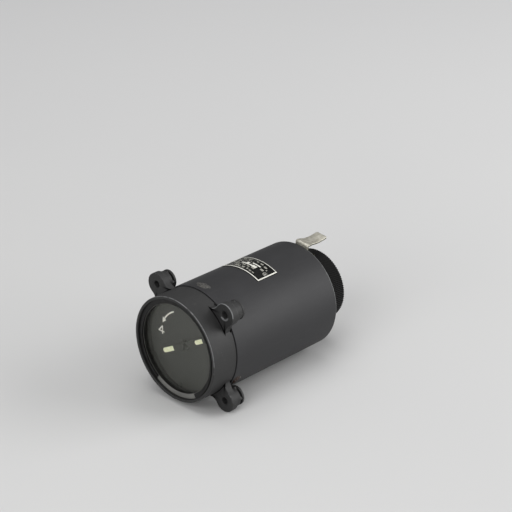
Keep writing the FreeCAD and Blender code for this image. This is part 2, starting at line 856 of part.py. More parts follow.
def pointer_cap():
    body = new_body("pointer_cap")
    front = "pointer_front - cap_height"
    floor = "pointer_front - cap_height + cap_floor"
    bore = "nose_radius + press_gap"
    corners = [
        ("0", front),
        ("cap_radius - cap_ease", front),
        ("cap_radius", "pointer_front - cap_height + cap_ease"),
        ("cap_radius", "pointer_front"),
        (bore, "pointer_front"),
        (bore, floor),
        ("0", floor),
    ]
    revolve(body, "cap_turning", corners)


# Rotor
def rotor_shaft():
    body = new_body("rotor_shaft")
    start = "pointer_front - cap_height + cap_floor + press_gap"
    corners = [
        ("0", start),
        ("nose_radius", start),
        ("nose_radius", "nose_end"),
        ("journal_radius", "nose_end"),
        ("journal_radius", "shaft_start"),
        ("shaft_radius", "shaft_start"),
        ("shaft_radius", "shaft_end"),
        ("journal_radius", "shaft_end"),
        ("journal_radius", "tail_end"),
        ("0", "tail_end"),
    ]
    revolve(body, "shaft_turning", corners)


def rotor_core():
    body = flat_ring("rotor_core", "shaft_seat", "rotor_radius", "rotor_front", "rotor_back")
    sketch = front_sketch(body, "rotor_slot", y="rotor_front")
    box_outline(
        sketch, "-rotor_slot_half_width", "rotor_slot_half_width",
        "rotor_radius - rotor_slot_depth", "rotor_radius + overrun",
    )
    cut = pocket(body, "rotor_slot", sketch, "rotor_length")
    around(body, "rotor_slots", [cut], "rotor_slot_count")


# A winding: a ring of end turns at each end and a bar through each slot
def winding(label, inner, outer, low, high, half_width, front, back, end_turn, count):
    body = new_body(label)
    near = f"{front} - end_turn_gap"
    far = f"{back} + end_turn_gap"
    rings = ((near, f"{near} - {end_turn}"), (far, f"{far} + {end_turn}"))
    for side, (first, last) in zip(("front", "back"), rings):
        corners = [(inner, first), (outer, first), (outer, last), (inner, last)]
        revolve(body, f"{label}_{side}", corners)
    sketch = front_sketch(body, label + "_bar", y=near)
    box_outline(sketch, f"-({half_width})", half_width, low, high)
    bar = pad(body, label + "_bar", sketch, f"{far} - ({near})")
    around(body, label + "_bars", [bar], count)


def rotor_windings():
    winding(
        "rotor_windings", "shaft_seat + rotor_end_turn_wall", "rotor_radius - end_turn_step",
        "rotor_radius - rotor_slot_depth + slot_play", "rotor_radius - end_turn_step",
        "rotor_slot_half_width - slot_play", "rotor_front", "rotor_back", "rotor_end_turn",
        "rotor_slot_count",
    )


def stator_core():
    body = flat_ring("stator_core", "stator_bore", "stator_radius", "stator_front", "stator_back")
    sketch = front_sketch(body, "stator_slot", y="stator_front")
    box_outline(
        sketch, "-stator_slot_half_width", "stator_slot_half_width",
        "0", "stator_slot_end",
    )
    cut = pocket(body, "stator_slot", sketch, "stator_length")
    around(body, "stator_slots", [cut], "stator_slot_count")
    round_holes(body, "stator_tie_holes", "tie_place", "tie_hole_radius", "tie_count", turn="tie_angle")


def stator_windings():
    winding(
        "stator_windings", "stator_bore + end_turn_step", "stator_slot_end - slot_play",
        "stator_bore + end_turn_step", "stator_slot_end - slot_play",
        "stator_slot_half_width - slot_play", "stator_front", "stator_back", "stator_end_turn",
        "stator_slot_count",
    )


def slip_ring_sleeve():
    flat_ring(
        "slip_ring_sleeve", "shaft_seat", "sleeve_radius", "sleeve_start", "sleeve_start + sleeve_length"
    )


def slip_rings():
    body = new_body("slip_rings")
    front = "sleeve_start + ring_lead"
    back = f"{front} + ring_width"
    corners = [("ring_inner", front), ("ring_outer", front), ("ring_outer", back), ("ring_inner", back)]
    ring = revolve(body, "slip_ring", corners)
    row = body.newObject("PartDesign::LinearPattern", "slip_ring_row")
    row.Originals = [ring]
    row.Direction = (origin_part(body, "Y_Axis"), [""])
    bind(row, "Length", "ring_pitch * (ring_count - 1)")
    bind(row, "Occurrences", "ring_count")
    body.Tip = row


# Brushes
def brush_block():
    body = new_body("brush_block")
    sketch = front_sketch(body, "brush_block", y="block_front")
    box_outline(
        sketch, "-block_half_width", "block_half_width", "block_floor", "block_floor + block_height"
    )
    pad(body, "brush_bar", sketch, "block_length")
    holes = front_sketch(body, "block_screw_holes", y="rear_bracket_front - block_screw_length")
    for side in ("", "-"):
        circle(holes, side + "block_screw_aside", "block_screw_place", "small_screw_radius + press_gap")
    pocket(body, "block_screw_holes", holes)


def brush_block_screws():
    body = new_body("brush_block_screws")
    for side in ("", "-"):
        name = "left" if side else "right"
        head_sketch = front_sketch(body, f"{name}_head", y="rear_bracket_back")
        circle(head_sketch, side + "block_screw_aside", "block_screw_place", "cover_head_radius")
        pad(body, f"{name}_head", head_sketch, "cover_head_height")
        depth = "bracket_thickness + block_screw_length"
        sketch = front_sketch(body, f"{name}_shank", y=f"rear_bracket_back - ({depth})")
        circle(sketch, side + "block_screw_aside", "block_screw_place", "small_screw_radius")
        pad(body, f"{name}_shank", sketch, depth)


def brushes():
    body = new_body("brushes")
    start = "sleeve_start + ring_lead + ring_width / 2 - brush_half_width"
    sketch = front_sketch(body, "brush", y=start)
    touch = "ring_outer + brush_gap"
    corners = [
        ("-brush_lean", "block_floor"),
        ("-brush_lean - brush_thickness", "block_floor"),
        ("-brush_thickness / 2", touch),
        ("brush_thickness / 2", touch),
        ("brush_tail", f"{touch} + brush_tail_rise"),
        ("brush_tail", f"{touch} + brush_tail_rise + brush_thickness"),
        ("brush_thickness / 2", f"{touch} + brush_thickness"),
    ]
    outline(sketch, corners)
    leaf = pad(body, "brush_leaf", sketch, "brush_half_width * 2")
    row = body.newObject("PartDesign::LinearPattern", "brush_row")
    row.Originals = [leaf]
    row.Direction = (origin_part(body, "Y_Axis"), [""])
    bind(row, "Length", "ring_pitch * (ring_count - 1)")
    bind(row, "Occurrences", "ring_count")
    body.Tip = row


# Bearing brackets and what ties them
def bearing_bracket(label, radius, front, back, seat, seat_end):
    body = new_body(label)
    corners = [
        ("seat_hole_radius", front),
        (radius, front),
        (radius, back),
        ("boss_outer", back),
        ("boss_outer", seat_end),
        ("bearing_outer_radius + press_gap", seat_end),
        ("bearing_outer_radius + press_gap", seat),
        ("seat_hole_radius", seat),
    ]
    revolve(body, label + "_turning", corners)
    round_holes(
        body, label + "_windows", "window_place", "window_radius", "window_count", turn="window_angle"
    )
    return body


def front_bearing_bracket():
    body = bearing_bracket(
        "front_bearing_bracket", "bracket_radius", "bracket_front", "bracket_back",
        "front_seat", "front_seat_end",
    )
    round_holes(
        body, "front_tie_holes", "tie_place", "tie_radius + press_gap", "tie_count", turn="tie_angle"
    )
    round_holes(
        body, "front_screw_holes", "bracket_screw_place", "small_screw_radius + hole_play",
        "bracket_screw_count",
    )


def rear_bearing_bracket():
    body = bearing_bracket(
        "rear_bearing_bracket", "rear_bracket_radius", "rear_bracket_front", "rear_bracket_back",
        "rear_seat", "rear_seat_end",
    )
    round_holes(body, "rear_tie_holes", "tie_place", "tie_hole_radius", "tie_count", turn="tie_angle")
    holes = front_sketch(body, "brush_holes", y="rear_bracket_front")
    for side in ("", "-"):
        circle(holes, side + "block_screw_aside", "block_screw_place", "small_screw_radius + hole_play")
    pocket(body, "brush_holes", holes, "bracket_thickness")


def spacer_tubes(label, front, back):
    body = new_body(label)
    corners = [
        ("tie_hole_radius", front),
        ("spacer_radius", front),
        ("spacer_radius", back),
        ("tie_hole_radius", back),
    ]
    tube = revolve(body, label + "_turning", corners, off="tie_place")
    around(body, label + "_set", [tube], "tie_count")
    stand(body, "tie_angle")


def ball_bearing(label, front):
    back = f"{front} + bearing_width"
    middle = f"{front} + bearing_width / 2"
    outer_wall = "bearing_outer_radius - race_wall"
    inner_wall = "bearing_inner_radius + race_wall"
    outer = flat_ring(label + "_outer_ring", outer_wall, "bearing_outer_radius", front, back)
    inner = flat_ring(label + "_inner_ring", "bearing_inner_radius", inner_wall, front, back)
    for body in (outer, inner):
        name = body.Label + "_race"
        sketch = side_sketch(body, name)
        circle(sketch, middle, "ball_circle", "ball_radius + ball_play")
        spin_sketch(body, name, sketch, "H_Axis", kind="Groove")
    body = new_body(label + "_balls")
    sketch = side_sketch(body, label + "_ball", off="ball_circle")
    left = f"{middle} - ball_radius"
    right = f"{middle} + ball_radius"
    outline(sketch, [(left, "0"), (right, "0", "half")])
    ball = spin_sketch(body, label + "_ball", sketch, "H_Axis")
    around(body, label + "_ball_set", [ball], "ball_count")


# Case
def case_tube():
    body = new_body("case_tube")
    corners = [
        ("case_bore", "seam_reach"),
        ("case_radius - seam_ease", "seam_reach"),
        ("case_radius", "seam_reach + seam_ease"),
        ("case_radius", "case_reach - case_edge"),
        ("case_radius - case_edge", "case_reach"),
        ("case_bore", "case_reach"),
        ("case_bore", "ledge_back"),
        ("ledge_bore", "ledge_back"),
        ("ledge_bore", "ledge_front"),
        ("case_bore", "ledge_front"),
    ]
    revolve(body, "case_turning", corners)
    hole_sketch = top_sketch(body, "screw_hole")
    circle(hole_sketch, "0", "case_screw_reach", "case_screw_radius + hole_play")
    hole = pocket(body, "screw_hole", hole_sketch, "case_radius", rearward=False)
    seat_sketch = top_sketch(body, "screw_seat", height="case_radius - case_head_sink")
    circle(seat_sketch, "0", "case_screw_reach", "case_head_radius + case_head_play")
    seat = pocket(body, "screw_seat", seat_sketch, rearward=False)
    around(body, "screw_places", [hole, seat], "case_screw_count")
    cut_pin_holes(body, "-plate_pin_spread / 2")
    round_holes(
        body, "cover_screw_holes", "cover_screw_place", "cover_screw_radius + press_gap",
        "cover_screw_count", turn="cover_screw_angle", y="ledge_front", length="case_ledge_thickness",
    )


# A turned piece that points at the axis: its outline stands upright beside its own axis
def radial_turning(body, corners, y):
    sketch = side_sketch(body, body.Label, y=y)
    outline(sketch, corners)
    return spin_sketch(body, body.Label + "_turning", sketch, "V_Axis")


def case_screws():
    seat = "case_radius - case_head_sink"
    top = f"{seat} + case_head_height"
    tip = f"{seat} - case_screw_length"
    corners = [
        ("0", tip),
        ("case_screw_radius", tip),
        ("case_screw_radius", seat),
        ("case_head_radius", seat),
        ("case_head_radius", top),
        ("0", top),
    ]
    body = new_body("case_screws")
    turning = radial_turning(body, corners, "case_screw_reach")
    sketch = top_sketch(body, "head_slot", height=top)
    half = "case_head_radius * slot_share / 2"
    middle = "case_screw_reach"
    wide = "case_head_radius * 2"
    box_outline(sketch, f"-({wide})", wide, f"{middle} - {half}", f"{middle} + {half}")
    cut = pocket(body, "head_slot", sketch, "case_head_height / 2")
    around(body, "case_screw_set", [turning, cut], "case_screw_count")


def screw_seals():
    body = new_body("screw_seals")
    sketch = top_sketch(body, "seal_lump", height="case_radius - seal_sink")
    end = "seal_half_length - seal_half_width"
    front = "case_screw_reach - seal_half_width"
    back = "case_screw_reach + seal_half_width"
    outline(sketch, [(end, front, "half"), (end, back), (f"-({end})", back, "half"), (f"-({end})", front)])
    lump = pad(body, "seal_lump", sketch, "seal_height + seal_sink", rearward=False)
    bind(lump, "TaperAngle", "-seal_slope_angle")
    under = front_sketch(body, "seal_underside", y="seam_reach")
    circle(under, "0", "0", "case_radius + seal_gap")
    underside = pocket(body, "seal_underside", under)
    top = "case_radius - case_head_sink + case_head_height + seal_gap"
    hollow = top_sketch(body, "head_hollow", height=top)
    circle(hollow, "0", "case_screw_reach", "case_head_radius + case_head_play")
    cavity = pocket(body, "head_hollow", hollow)
    around(body, "seal_set", [lump, underside, cavity], "case_screw_count")


def data_plate():
    body = new_body("data_plate")
    inner = "case_radius + plate_gap"
    outer = "case_radius + plate_gap + plate_thickness"
    end = "plate_start + plate_length"
    corners = [(inner, "plate_start"), (outer, "plate_start"), (outer, end), (inner, end)]
    revolve(body, "plate_turning", corners, sweep="plate_spread")
    stand(body, "plate_spread / 2")
    cut_pin_holes(body, "plate_spread / 2 - plate_pin_spread / 2")
    return body


# Radial holes for the two plate pins; the first lies at the given angle behind the body's upright
def cut_pin_holes(body, lag):
    sketch = new_sketch(
        body, "XY_Plane", body.Label + "_pin_hole", axis=(0, 1, 0), turn=lag
    )
    circle(sketch, "0", "plate_start + plate_length / 2", "plate_pin_radius + press_gap")
    hole = pocket(body, body.Label + "_pin_hole", sketch, "case_radius * 2", rearward=False)
    around(body, body.Label + "_pin_holes", [hole], "plate_pin_count", span="plate_pin_spread")


def data_plate_pins():
    seat = "case_radius + plate_gap + plate_thickness + seal_gap"
    tip = f"{seat} - plate_pin_length"
    top = f"{seat} + plate_pin_head_height"
    corners = [
        ("0", tip),
        ("plate_pin_radius", tip),
        ("plate_pin_radius", seat),
        ("plate_pin_head_radius", seat),
        ("plate_pin_head_radius - plate_pin_head_height", top),
        ("0", top),
    ]
    body = new_body("data_plate_pins")
    turning = radial_turning(body, corners, "plate_start + plate_length / 2")
    around(body, "pin_set", [turning], "plate_pin_count", span="plate_pin_spread")
    stand(body, "plate_pin_spread / 2")


# Rear cover
def rear_gasket():
    body = flat_ring("rear_gasket", "ledge_bore", "cover_radius", "ledge_back", "cover_front")
    round_holes(
        body, "gasket_holes", "cover_screw_place", "cover_screw_radius + hole_play",
        "cover_screw_count", turn="cover_screw_angle",
    )


def rear_cover():
    body = flat_ring("rear_cover", "cover_hole_radius", "cover_radius", "cover_front", "cover_back")
    round_holes(
        body, "cover_holes", "cover_screw_place", "cover_screw_radius + hole_play",
        "cover_screw_count", turn="cover_screw_angle",
    )
    round_holes(
        body, "cover_sinks", "cover_screw_place", "cover_head_radius + case_head_play",
        "cover_screw_count", turn="cover_screw_angle", y="cover_back - cover_head_sink", length="overrun",
    )
    round_holes(
        body, "shell_screw_holes", "shell_screw_place", "shell_screw_radius + press_gap",
        "shell_screw_count", turn="shell_screw_angle", y="cover_front",
        length="shell_screw_length - shell_flange_thickness",
    )
    holes = front_sketch(body, "guide_screw_holes", y="cover_front", turn="-latch_angle")
    for side in ("", "-"):
        circle(
            holes, side + "guide_screw_aside", "guide_middle",
            "guide_screw_radius + press_gap",
        )
    pocket(body, "guide_screw_holes", holes)


# Connector
def connector_shell():
    body = new_body("connector_shell")
    groove = "neck_radius - clip_groove_depth"
    corners = [
        ("shoulder_bore", "flange_front"),
        ("shell_flange_radius", "flange_front"),
        ("shell_flange_radius", "cover_front"),
        ("neck_radius", "cover_front"),
        ("neck_radius", "clip_front"),
        (groove, "clip_front"),
        (groove, "clip_back + clip_seat_play"),
        ("neck_radius", "clip_back + clip_seat_play"),
        ("neck_radius", "neck_end - mouth_ease"),
        ("neck_radius - mouth_ease", "neck_end"),
        ("neck_bore", "neck_end"),
        ("neck_bore", "disc_front"),
        ("shoulder_bore", "disc_front"),
    ]
    revolve(body, "shell_turning", corners)
    round_holes(
        body, "flange_screw_holes", "shell_screw_place", "shell_screw_radius + hole_play",
        "shell_screw_count", turn="shell_screw_angle", y="flange_front", length="shell_flange_thickness",
    )


def connector_block():
    body = new_body("connector_block")
    corners = [
        ("0", "disc_front"),
        ("disc_radius", "disc_front"),
        ("disc_radius", "disc_back"),
        ("0", "disc_back"),
    ]
    revolve(body, "block_turning", corners)
    round_holes(
        body, "pin_holes", "pin_circle_radius", "pin_radius + press_gap", "pin_count", turn="pin_angle"
    )


def contact_pins():
    body = new_body("contact_pins")
    corners = [
        ("0", "pin_front"),
        ("pin_tail_radius", "pin_front"),
        ("pin_tail_radius", "disc_front"),
        ("pin_radius", "disc_front"),
        ("pin_radius", "pin_back - pin_ease"),
        ("pin_radius - pin_ease", "pin_back"),
        ("0", "pin_back"),
    ]
    turning = revolve(body, "pin_turning", corners, off="pin_circle_radius")
    around(body, "pin_ring", [turning], "pin_count")
    stand(body, "pin_angle")


def coupling_clip():
    body = new_body("coupling_ring_clip")
    outer = "clip_inner + clip_width"
    corners = [
        ("clip_inner", "clip_front"),
        (outer, "clip_front"),
        (outer, "clip_back"),
        ("clip_inner", "clip_back"),
    ]
    revolve(body, "clip_turning", corners, sweep="360 - clip_gap_spread")


# The knurled ring: a star-shaped bar with one valley between each two teeth, bored and threaded
def coupling_ring():
    radius = value("knurl_radius")
    count = round(value("knurl_count"))
    front = value("knurl_front")
    long = value("knurl_back") - front
    step = math.pi / count
    rings = (radius, radius - value("knurl_depth"))
    star = []
    for place in range(2 * count + 1):
        reach = rings[place % 2]
        angle = step * (place % (2 * count))
        star.append(FreeCAD.Vector(reach * math.cos(angle), 0, reach * math.sin(angle)))
    bar = Part.Face(Part.makePolygon(star)).extrude(FreeCAD.Vector(0, long, 0))
    inner = value("neck_radius + collar_play")
    thread = value("thread_radius")
    depth = value("thread_depth")
    pitch = value("thread_pitch")
    collar = value("collar_thickness")
    ease = value("knurl_ease")
    bore = [(0, 0), (inner, 0), (inner, collar), (thread, collar)]
    at = collar + value("thread_lead")
    for _ in range(round(value("thread_count"))):
        bore += [(thread, at), (thread + depth, at + pitch / 2)]
        at += pitch
    bore += [(thread, at), (thread, long), (0, long)]
    bar = bar.cut(turned_solid(bore))
    for end, inward in ((0, ease), (long, long - ease)):
        corner = [(radius - ease, end), (radius + ease, end), (radius + ease, inward), (radius, inward)]
        bar = bar.cut(turned_solid(corner))
    ring = doc.addObject("Part::Feature", "coupling_ring_body")
    ring.Label = "coupling_ring"
    ring.Shape = bar
    ring.Placement = FreeCAD.Placement(FreeCAD.Vector(0, front, 0), FreeCAD.Rotation())
    nodes.append(ring)


def turned_solid(corners):
    points = [FreeCAD.Vector(radius, y, 0) for radius, y in corners]
    face = Part.Face(Part.makePolygon(points + points[:1]))
    return face.revolve(FreeCAD.Vector(0, 0, 0), FreeCAD.Vector(0, 1, 0), 360)


# Sliding latch: a bent strip whose tooth stands over the knurled ring
def lock_slide():
    body = new_body("lock_slide")
    sketch = side_sketch(body, "slide_side")
    bend = "latch_bend_radius"
    inner_bend = "latch_bend_radius - latch_thickness"
    shoulder = "latch_front + latch_bend_radius"
    corners = [
        ("latch_front", "latch_start"),
        ("latch_back", "latch_start"),
        ("latch_back", f"latch_top - {bend}", inner_bend, "right"),
        (shoulder, "latch_top - latch_thickness"),
        ("latch_low_place", "latch_low - latch_thickness"),
        ("latch_tip", "latch_tip_top - latch_thickness"),
        ("latch_tip", "latch_tip_top"),
        ("latch_low_place", "latch_low"),
        (shoulder, "latch_top", bend, "left"),
        ("latch_front", f"latch_top - {bend}"),
    ]
    outline(sketch, corners)
    pad(body, "slide_strip", sketch, "latch_half_width * 2", both=True)
    tongue = top_sketch(body, "tongue_sides")
    end = "latch_tip + overrun"
    for side in ("", "-"):
        edge = side + "latch_tongue_half_width"
        outer = side + "(latch_half_width + overrun)"
        neck = "case_reach + latch_shoulder_reach"
        root = side + "latch_half_width"
        outline(tongue, [(root, shoulder), (edge, neck), (edge, end), (outer, end), (outer, shoulder)])
    pocket(body, "tongue_sides", tongue, "latch_top + overrun", rearward=False)
    tooth = front_sketch(body, "tooth_sides")
    for side in ("", "-"):
        edge = side + "latch_tooth_half_width"
        outer = side + "(latch_half_width + overrun)"
        high = "latch_start + latch_tooth_height"
        corners = [(edge, "0"), (edge, high), (outer, high), (outer, "0")]
        outline(tooth, corners)
    pocket(body, "tooth_sides", tooth, "latch_tip")
    slot = front_sketch(body, "spring_slot")
    box_outline(
        slot, "-latch_slot_half_width", "latch_slot_half_width", "latch_slot_start", "latch_slot_end"
    )
    pocket(body, "spring_slot", slot, "latch_back + overrun / 2")
    stand(body, "-latch_angle")


def lock_guide():
    body = new_body("lock_guide")
    sketch = front_sketch(body, "guide", y="cover_back")
    box_outline(sketch, "-guide_half_width", "guide_half_width", "guide_start", "guide_end")
    pad(body, "guide_blank", sketch, "guide_back - cover_back")
    channel = front_sketch(body, "guide_channel", y="cover_back")
    box_outline(
        channel, "-channel_half_width", "channel_half_width",
        "guide_start - overrun", "guide_end + overrun",
    )
    pocket(body, "guide_channel", channel, "channel_back - cover_back")
    pin = front_sketch(body, "guide_pin", y="latch_front")
    box_outline(pin, "-guide_pin_half_width", "guide_pin_half_width", "guide_pin_floor", "guide_pin_top")
    pad(body, "guide_pin", pin, "channel_back - latch_front")
    holes = front_sketch(body, "guide_holes", y="cover_back")
    for side in ("", "-"):
        circle(
            holes, side + "guide_screw_aside", "guide_middle",
            "guide_screw_radius + hole_play",
        )
    pocket(body, "guide_holes", holes)
    stand(body, "-latch_angle")


def lock_guide_screws():
    body = new_body("lock_guide_screws")
    for side in ("", "-"):
        name = "left" if side else "right"
        head = front_sketch(body, f"{name}_guide_head", y="guide_back")
        circle(head, side + "guide_screw_aside", "guide_middle", "guide_head_radius")
        pad(body, f"{name}_guide_head", head, "guide_head_height")
        shank = front_sketch(body, f"{name}_guide_shank", y="guide_back - guide_screw_length")
        circle(shank, side + "guide_screw_aside", "guide_middle", "guide_screw_radius")
        pad(body, f"{name}_guide_shank", shank, "guide_screw_length")
    stand(body, "-latch_angle")


def lock_spring():
    body = new_body("lock_spring")
    sketch = side_sketch(body, "lock_spring", y="latch_slot_middle")
    start = "latch_slot_start + press_gap"
    end = "guide_pin_floor - press_gap"
    outline(sketch, [("0", start), ("spring_radius", start), ("spring_radius", end), ("0", end)])
    spin_sketch(body, "spring_body", sketch, "V_Axis")
    stand(body, "-latch_angle")


# Lead wires: each runs from a pin's tail through a window to the stator's end turns
def wire_solid(points, radius, bend_share):
    edges = []
    start = points[0]
    for before, corner, after in zip(points, points[1:], points[2:]):
        back = (before - corner).normalize()
        ahead = (after - corner).normalize()
        turn = math.pi - back.getAngle(ahead)
        cut = bend_share * min((before - corner).Length, (after - corner).Length)
        bend = cut / math.tan(turn / 2)
        first = corner + back * cut
        last = corner + ahead * cut
        inside = (back + ahead).normalize()
        middle = corner + inside * (math.hypot(bend, cut) - bend)
        edges += [Part.LineSegment(start, first).toShape(), Part.Arc(first, middle, last).toShape()]
        print("lead wire bend radius", round(bend, 1))
        start = last
    edges.append(Part.LineSegment(start, points[-1]).toShape())
    path = Part.Wire(edges)
    way = (points[1] - points[0]).normalize()
    section = Part.Wire(Part.makeCircle(radius, points[0], way))
    tube = path.makePipeShell([section], True, False)
    expected = math.pi * radius**2 * path.Length
    if abs(tube.Volume - expected) > expected / 100:
        raise ValueError("a lead wire's volume is off")
    return tube


def lead_wires():
    pins = round(value("pin_count"))
    windows = round(value("window_count"))
    share = pins // windows
    pin_circle = value("pin_circle_radius")
    window = value("window_place")
    spread = math.asin(value("wire_aside_share * window_radius / window_place"))
    radius = value("wire_radius")
    gap = value("wire_gap")
    start = value("pin_front") - gap
    first = start - value("wire_first_run")
    bend = value("wire_bend_reach")
    end = value("stator_back + end_turn_gap + stator_end_turn") + gap
    first_pin = math.radians(value("90 + pin_angle"))
    first_window = math.radians(value("90 + window_angle"))
    tubes = []
    for pin in range(windows * share):
        pin_angle = first_pin + 2 * math.pi / pins * pin
        aside = spread * (2 * (pin % share) - share + 1)
        target = first_window + 2 * math.pi / windows * (pin // share) + aside
        points = []
        for angle, reach, y in (
            (pin_angle, pin_circle, start),
            (pin_angle, pin_circle, first),
            (target, window, bend),
            (target, window, end),
        ):
            points.append(FreeCAD.Vector(reach * math.cos(angle), y, reach * math.sin(angle)))
        tubes.append(wire_solid(points, radius, value("wire_bend_share")))
    wires = doc.addObject("Part::Feature", "lead_wires_body")
    wires.Label = "lead_wires"
    wires.Shape = Part.makeCompound(tubes)
    nodes.append(wires)


def build():
    front_housing()
    lug_nuts()
    snap_ring()
    flat_ring("glass_washer", "glass_radius - washer_width", "glass_radius", "snap_back", "washer_back")
    cover_glass()
    flat_ring("glass_gasket", "ledge_radius", "glass_radius", "glass_back", "glass_ledge")
    dial_plate()
    screw_group(
        "dial_screws", "dial_screw_place", "dial_screw_count", "dial_screw_angle", "dial_front",
        "dial_head_radius", "dial_head_height", "dial_shank_radius", "dial_shank_length", -1,
    )
    pointer()
    pointer_lume()
    pointer_hub()
    pointer_cap()
    rotor_shaft()
    rotor_core()
    rotor_windings()
    slip_ring_sleeve()
    slip_rings()
    stator_core()
    stator_windings()
    brush_block()
    brush_block_screws()
    brushes()
    front_bearing_bracket()
    rear_bearing_bracket()
    screw_group(
        "bracket_screws", "bracket_screw_place", "bracket_screw_count", "0", "bracket_back",
        "cover_head_radius", "cover_head_height", "small_screw_radius",
        "(bracket_screw_length + bracket_thickness)", 1,
    )
    spacer_tubes("front_spacers", "bracket_back", "stator_front")
    spacer_tubes("rear_spacers", "stator_back", "rear_bracket_front")
    screw_group(
        "tie_bolts", "tie_place", "tie_count", "tie_angle", "rear_bracket_back", "tie_head_radius",
        "tie_head_height", "tie_radius", "(rear_bracket_back - bracket_front)", 1,
    )
    ball_bearing("front_bearing", "front_seat")
    ball_bearing("rear_bearing", "rear_seat")
    case_tube()
    case_screws()
    screw_seals()
    data_plate()
    data_plate_pins()
    rear_gasket()
    rear_cover()
    screw_group(
        "rear_cover_screws", "cover_screw_place", "cover_screw_count", "cover_screw_angle",
        "(cover_back - cover_head_sink)", "cover_head_radius", "cover_head_height",
        "cover_screw_radius", "cover_screw_length", 1,
    )
    connector_shell()
    connector_block()
    contact_pins()
    screw_group(
        "connector_screws", "shell_screw_place", "shell_screw_count", "shell_screw_angle", "flange_front",
        "shell_head_radius", "shell_head_height", "shell_screw_radius", "shell_screw_length", -1,
    )
    coupling_clip()
    coupling_ring()
    lock_slide()
    lock_guide()
    lock_guide_screws()
    lock_spring()
    lead_wires()


def check_and_write():
    doc.recompute()
    faults = []
    for item in doc.Objects:
        if "Invalid" in item.State or "Error" in item.State:
            faults.append(f"{item.Name} ({item.Label}): {item.State}")
    for node in nodes:
        if node.Shape.isNull() or not node.Shape.isValid() or not node.Shape.Solids:
            faults.append(f"{node.Label}: its shape is empty or not valid")
    if faults:
        raise SystemExit("\n".join(faults))
    os.makedirs("parts", exist_ok=True)
    for node in nodes:
        node.Shape.exportStep(os.path.join("parts", node.Label + ".step"))
        print(node.Label, len(node.Shape.Solids), round(node.Shape.Volume, 1))


build()
check_and_write()
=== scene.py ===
import json
import math

import bmesh
import bpy
import numpy as np
from mathutils import Matrix

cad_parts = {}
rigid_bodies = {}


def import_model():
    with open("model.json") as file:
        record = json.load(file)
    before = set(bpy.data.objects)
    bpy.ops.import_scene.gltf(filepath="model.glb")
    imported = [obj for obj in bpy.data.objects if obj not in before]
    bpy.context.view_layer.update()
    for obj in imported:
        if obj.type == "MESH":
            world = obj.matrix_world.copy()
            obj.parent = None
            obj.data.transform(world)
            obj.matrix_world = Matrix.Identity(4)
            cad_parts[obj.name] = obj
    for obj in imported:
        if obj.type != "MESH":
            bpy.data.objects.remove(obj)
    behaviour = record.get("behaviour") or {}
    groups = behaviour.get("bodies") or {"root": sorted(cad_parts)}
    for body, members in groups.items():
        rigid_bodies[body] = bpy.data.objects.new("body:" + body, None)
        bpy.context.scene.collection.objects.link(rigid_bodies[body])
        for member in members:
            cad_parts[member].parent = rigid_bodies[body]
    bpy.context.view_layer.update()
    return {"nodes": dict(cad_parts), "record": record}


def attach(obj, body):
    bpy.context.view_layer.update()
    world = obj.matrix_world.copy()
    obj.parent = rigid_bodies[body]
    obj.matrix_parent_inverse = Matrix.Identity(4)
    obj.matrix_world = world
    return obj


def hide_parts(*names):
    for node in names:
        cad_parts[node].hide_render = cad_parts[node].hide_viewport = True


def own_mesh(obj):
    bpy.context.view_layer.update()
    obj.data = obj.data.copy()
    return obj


# Engine synchronizer indicator: a black round panel instrument lying on a pale studio floor.
# Metres; +Y runs from the dial to the rear, +Z is up. Angles are polar, from +X towards +Z.

for leftOver in list(bpy.data.objects):
    bpy.data.objects.remove(leftOver)

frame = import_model()
nodes = frame["nodes"]
mm = 0.001
print("frame loaded:", len(nodes), "nodes")


# Surfaces

# Quads of a grid whose rows and columns may each close on themselves
def gridFaces(rows, columns, closeRows=True, closeColumns=True):
    row, column = np.meshgrid(
        np.arange(rows if closeRows else rows - 1),
        np.arange(columns if closeColumns else columns - 1),
        indexing="ij",
    )
    nextRow, nextColumn = (row + 1) % rows, (column + 1) % columns
    corners = [(row, column), (row, nextColumn), (nextRow, nextColumn), (nextRow, column)]
    return np.stack([r * columns + c for r, c in corners], -1).reshape(-1, 4)


# Every corner of a closed path becomes a short curve: a parabola between two points at the ease's
# distance along both sides, with one more point outside each end. The wear-and-painted-light value
# is 1 on the curves: it marks worn edges, edges with a painted highlight and edges with painted shade.
def easedPath(corners, eases, steps=5):
    corners = np.asarray(corners, float)
    eases = np.broadcast_to(np.asarray(eases, float), len(corners))[:, None]
    before = np.roll(corners, 1, axis=0) - corners
    after = np.roll(corners, -1, axis=0) - corners
    lengthBefore = np.linalg.norm(before, axis=1, keepdims=True)
    lengthAfter = np.linalg.norm(after, axis=1, keepdims=True)
    reach = np.minimum(eases, 0.3 * np.minimum(lengthBefore, lengthAfter))
    start = corners + before / lengthBefore * reach
    end = corners + after / lengthAfter * reach
    t = np.linspace(0, 1, steps)[None, :, None]
    curve = (1 - t) ** 2 * start[:, None] + 2 * t * (1 - t) * corners[:, None] + t**2 * end[:, None]
    outerStart = corners + before / lengthBefore * reach * 1.6
    outerEnd = corners + after / lengthAfter * reach * 1.6
    path = np.concatenate([outerStart[:, None], curve, outerEnd[:, None]], axis=1)
    wearAndPaintedLight = np.tile(np.concatenate([[0.0, 0.4], np.ones(steps - 2), [0.4, 0.0]]), (len(corners), 1))
    return path.reshape(-1, 2), wearAndPaintedLight.ravel()


# Points at a radius from the Y axis and an angle round it
def carriedPoints(radius, y, angle):
    return np.stack(np.broadcast_arrays(radius * np.cos(angle), y, radius * np.sin(angle)), -1)


# Points of a (radius, y) path carried round the Y axis over the angles
def carriedRound(path, angles):
    return carriedPoints(path[:, :1], path[:, 1:], angles)


# Points given aside, along Y and outwards, turned round the Y axis by an angle in degrees
def turnedPoints(aside, y, out, angle):
    turn = math.radians(angle)
    x = out * math.cos(turn) + aside * math.sin(turn)
    z = out * math.sin(turn) - aside * math.cos(turn)
    return np.stack(np.broadcast_arrays(x, y, z), -1)


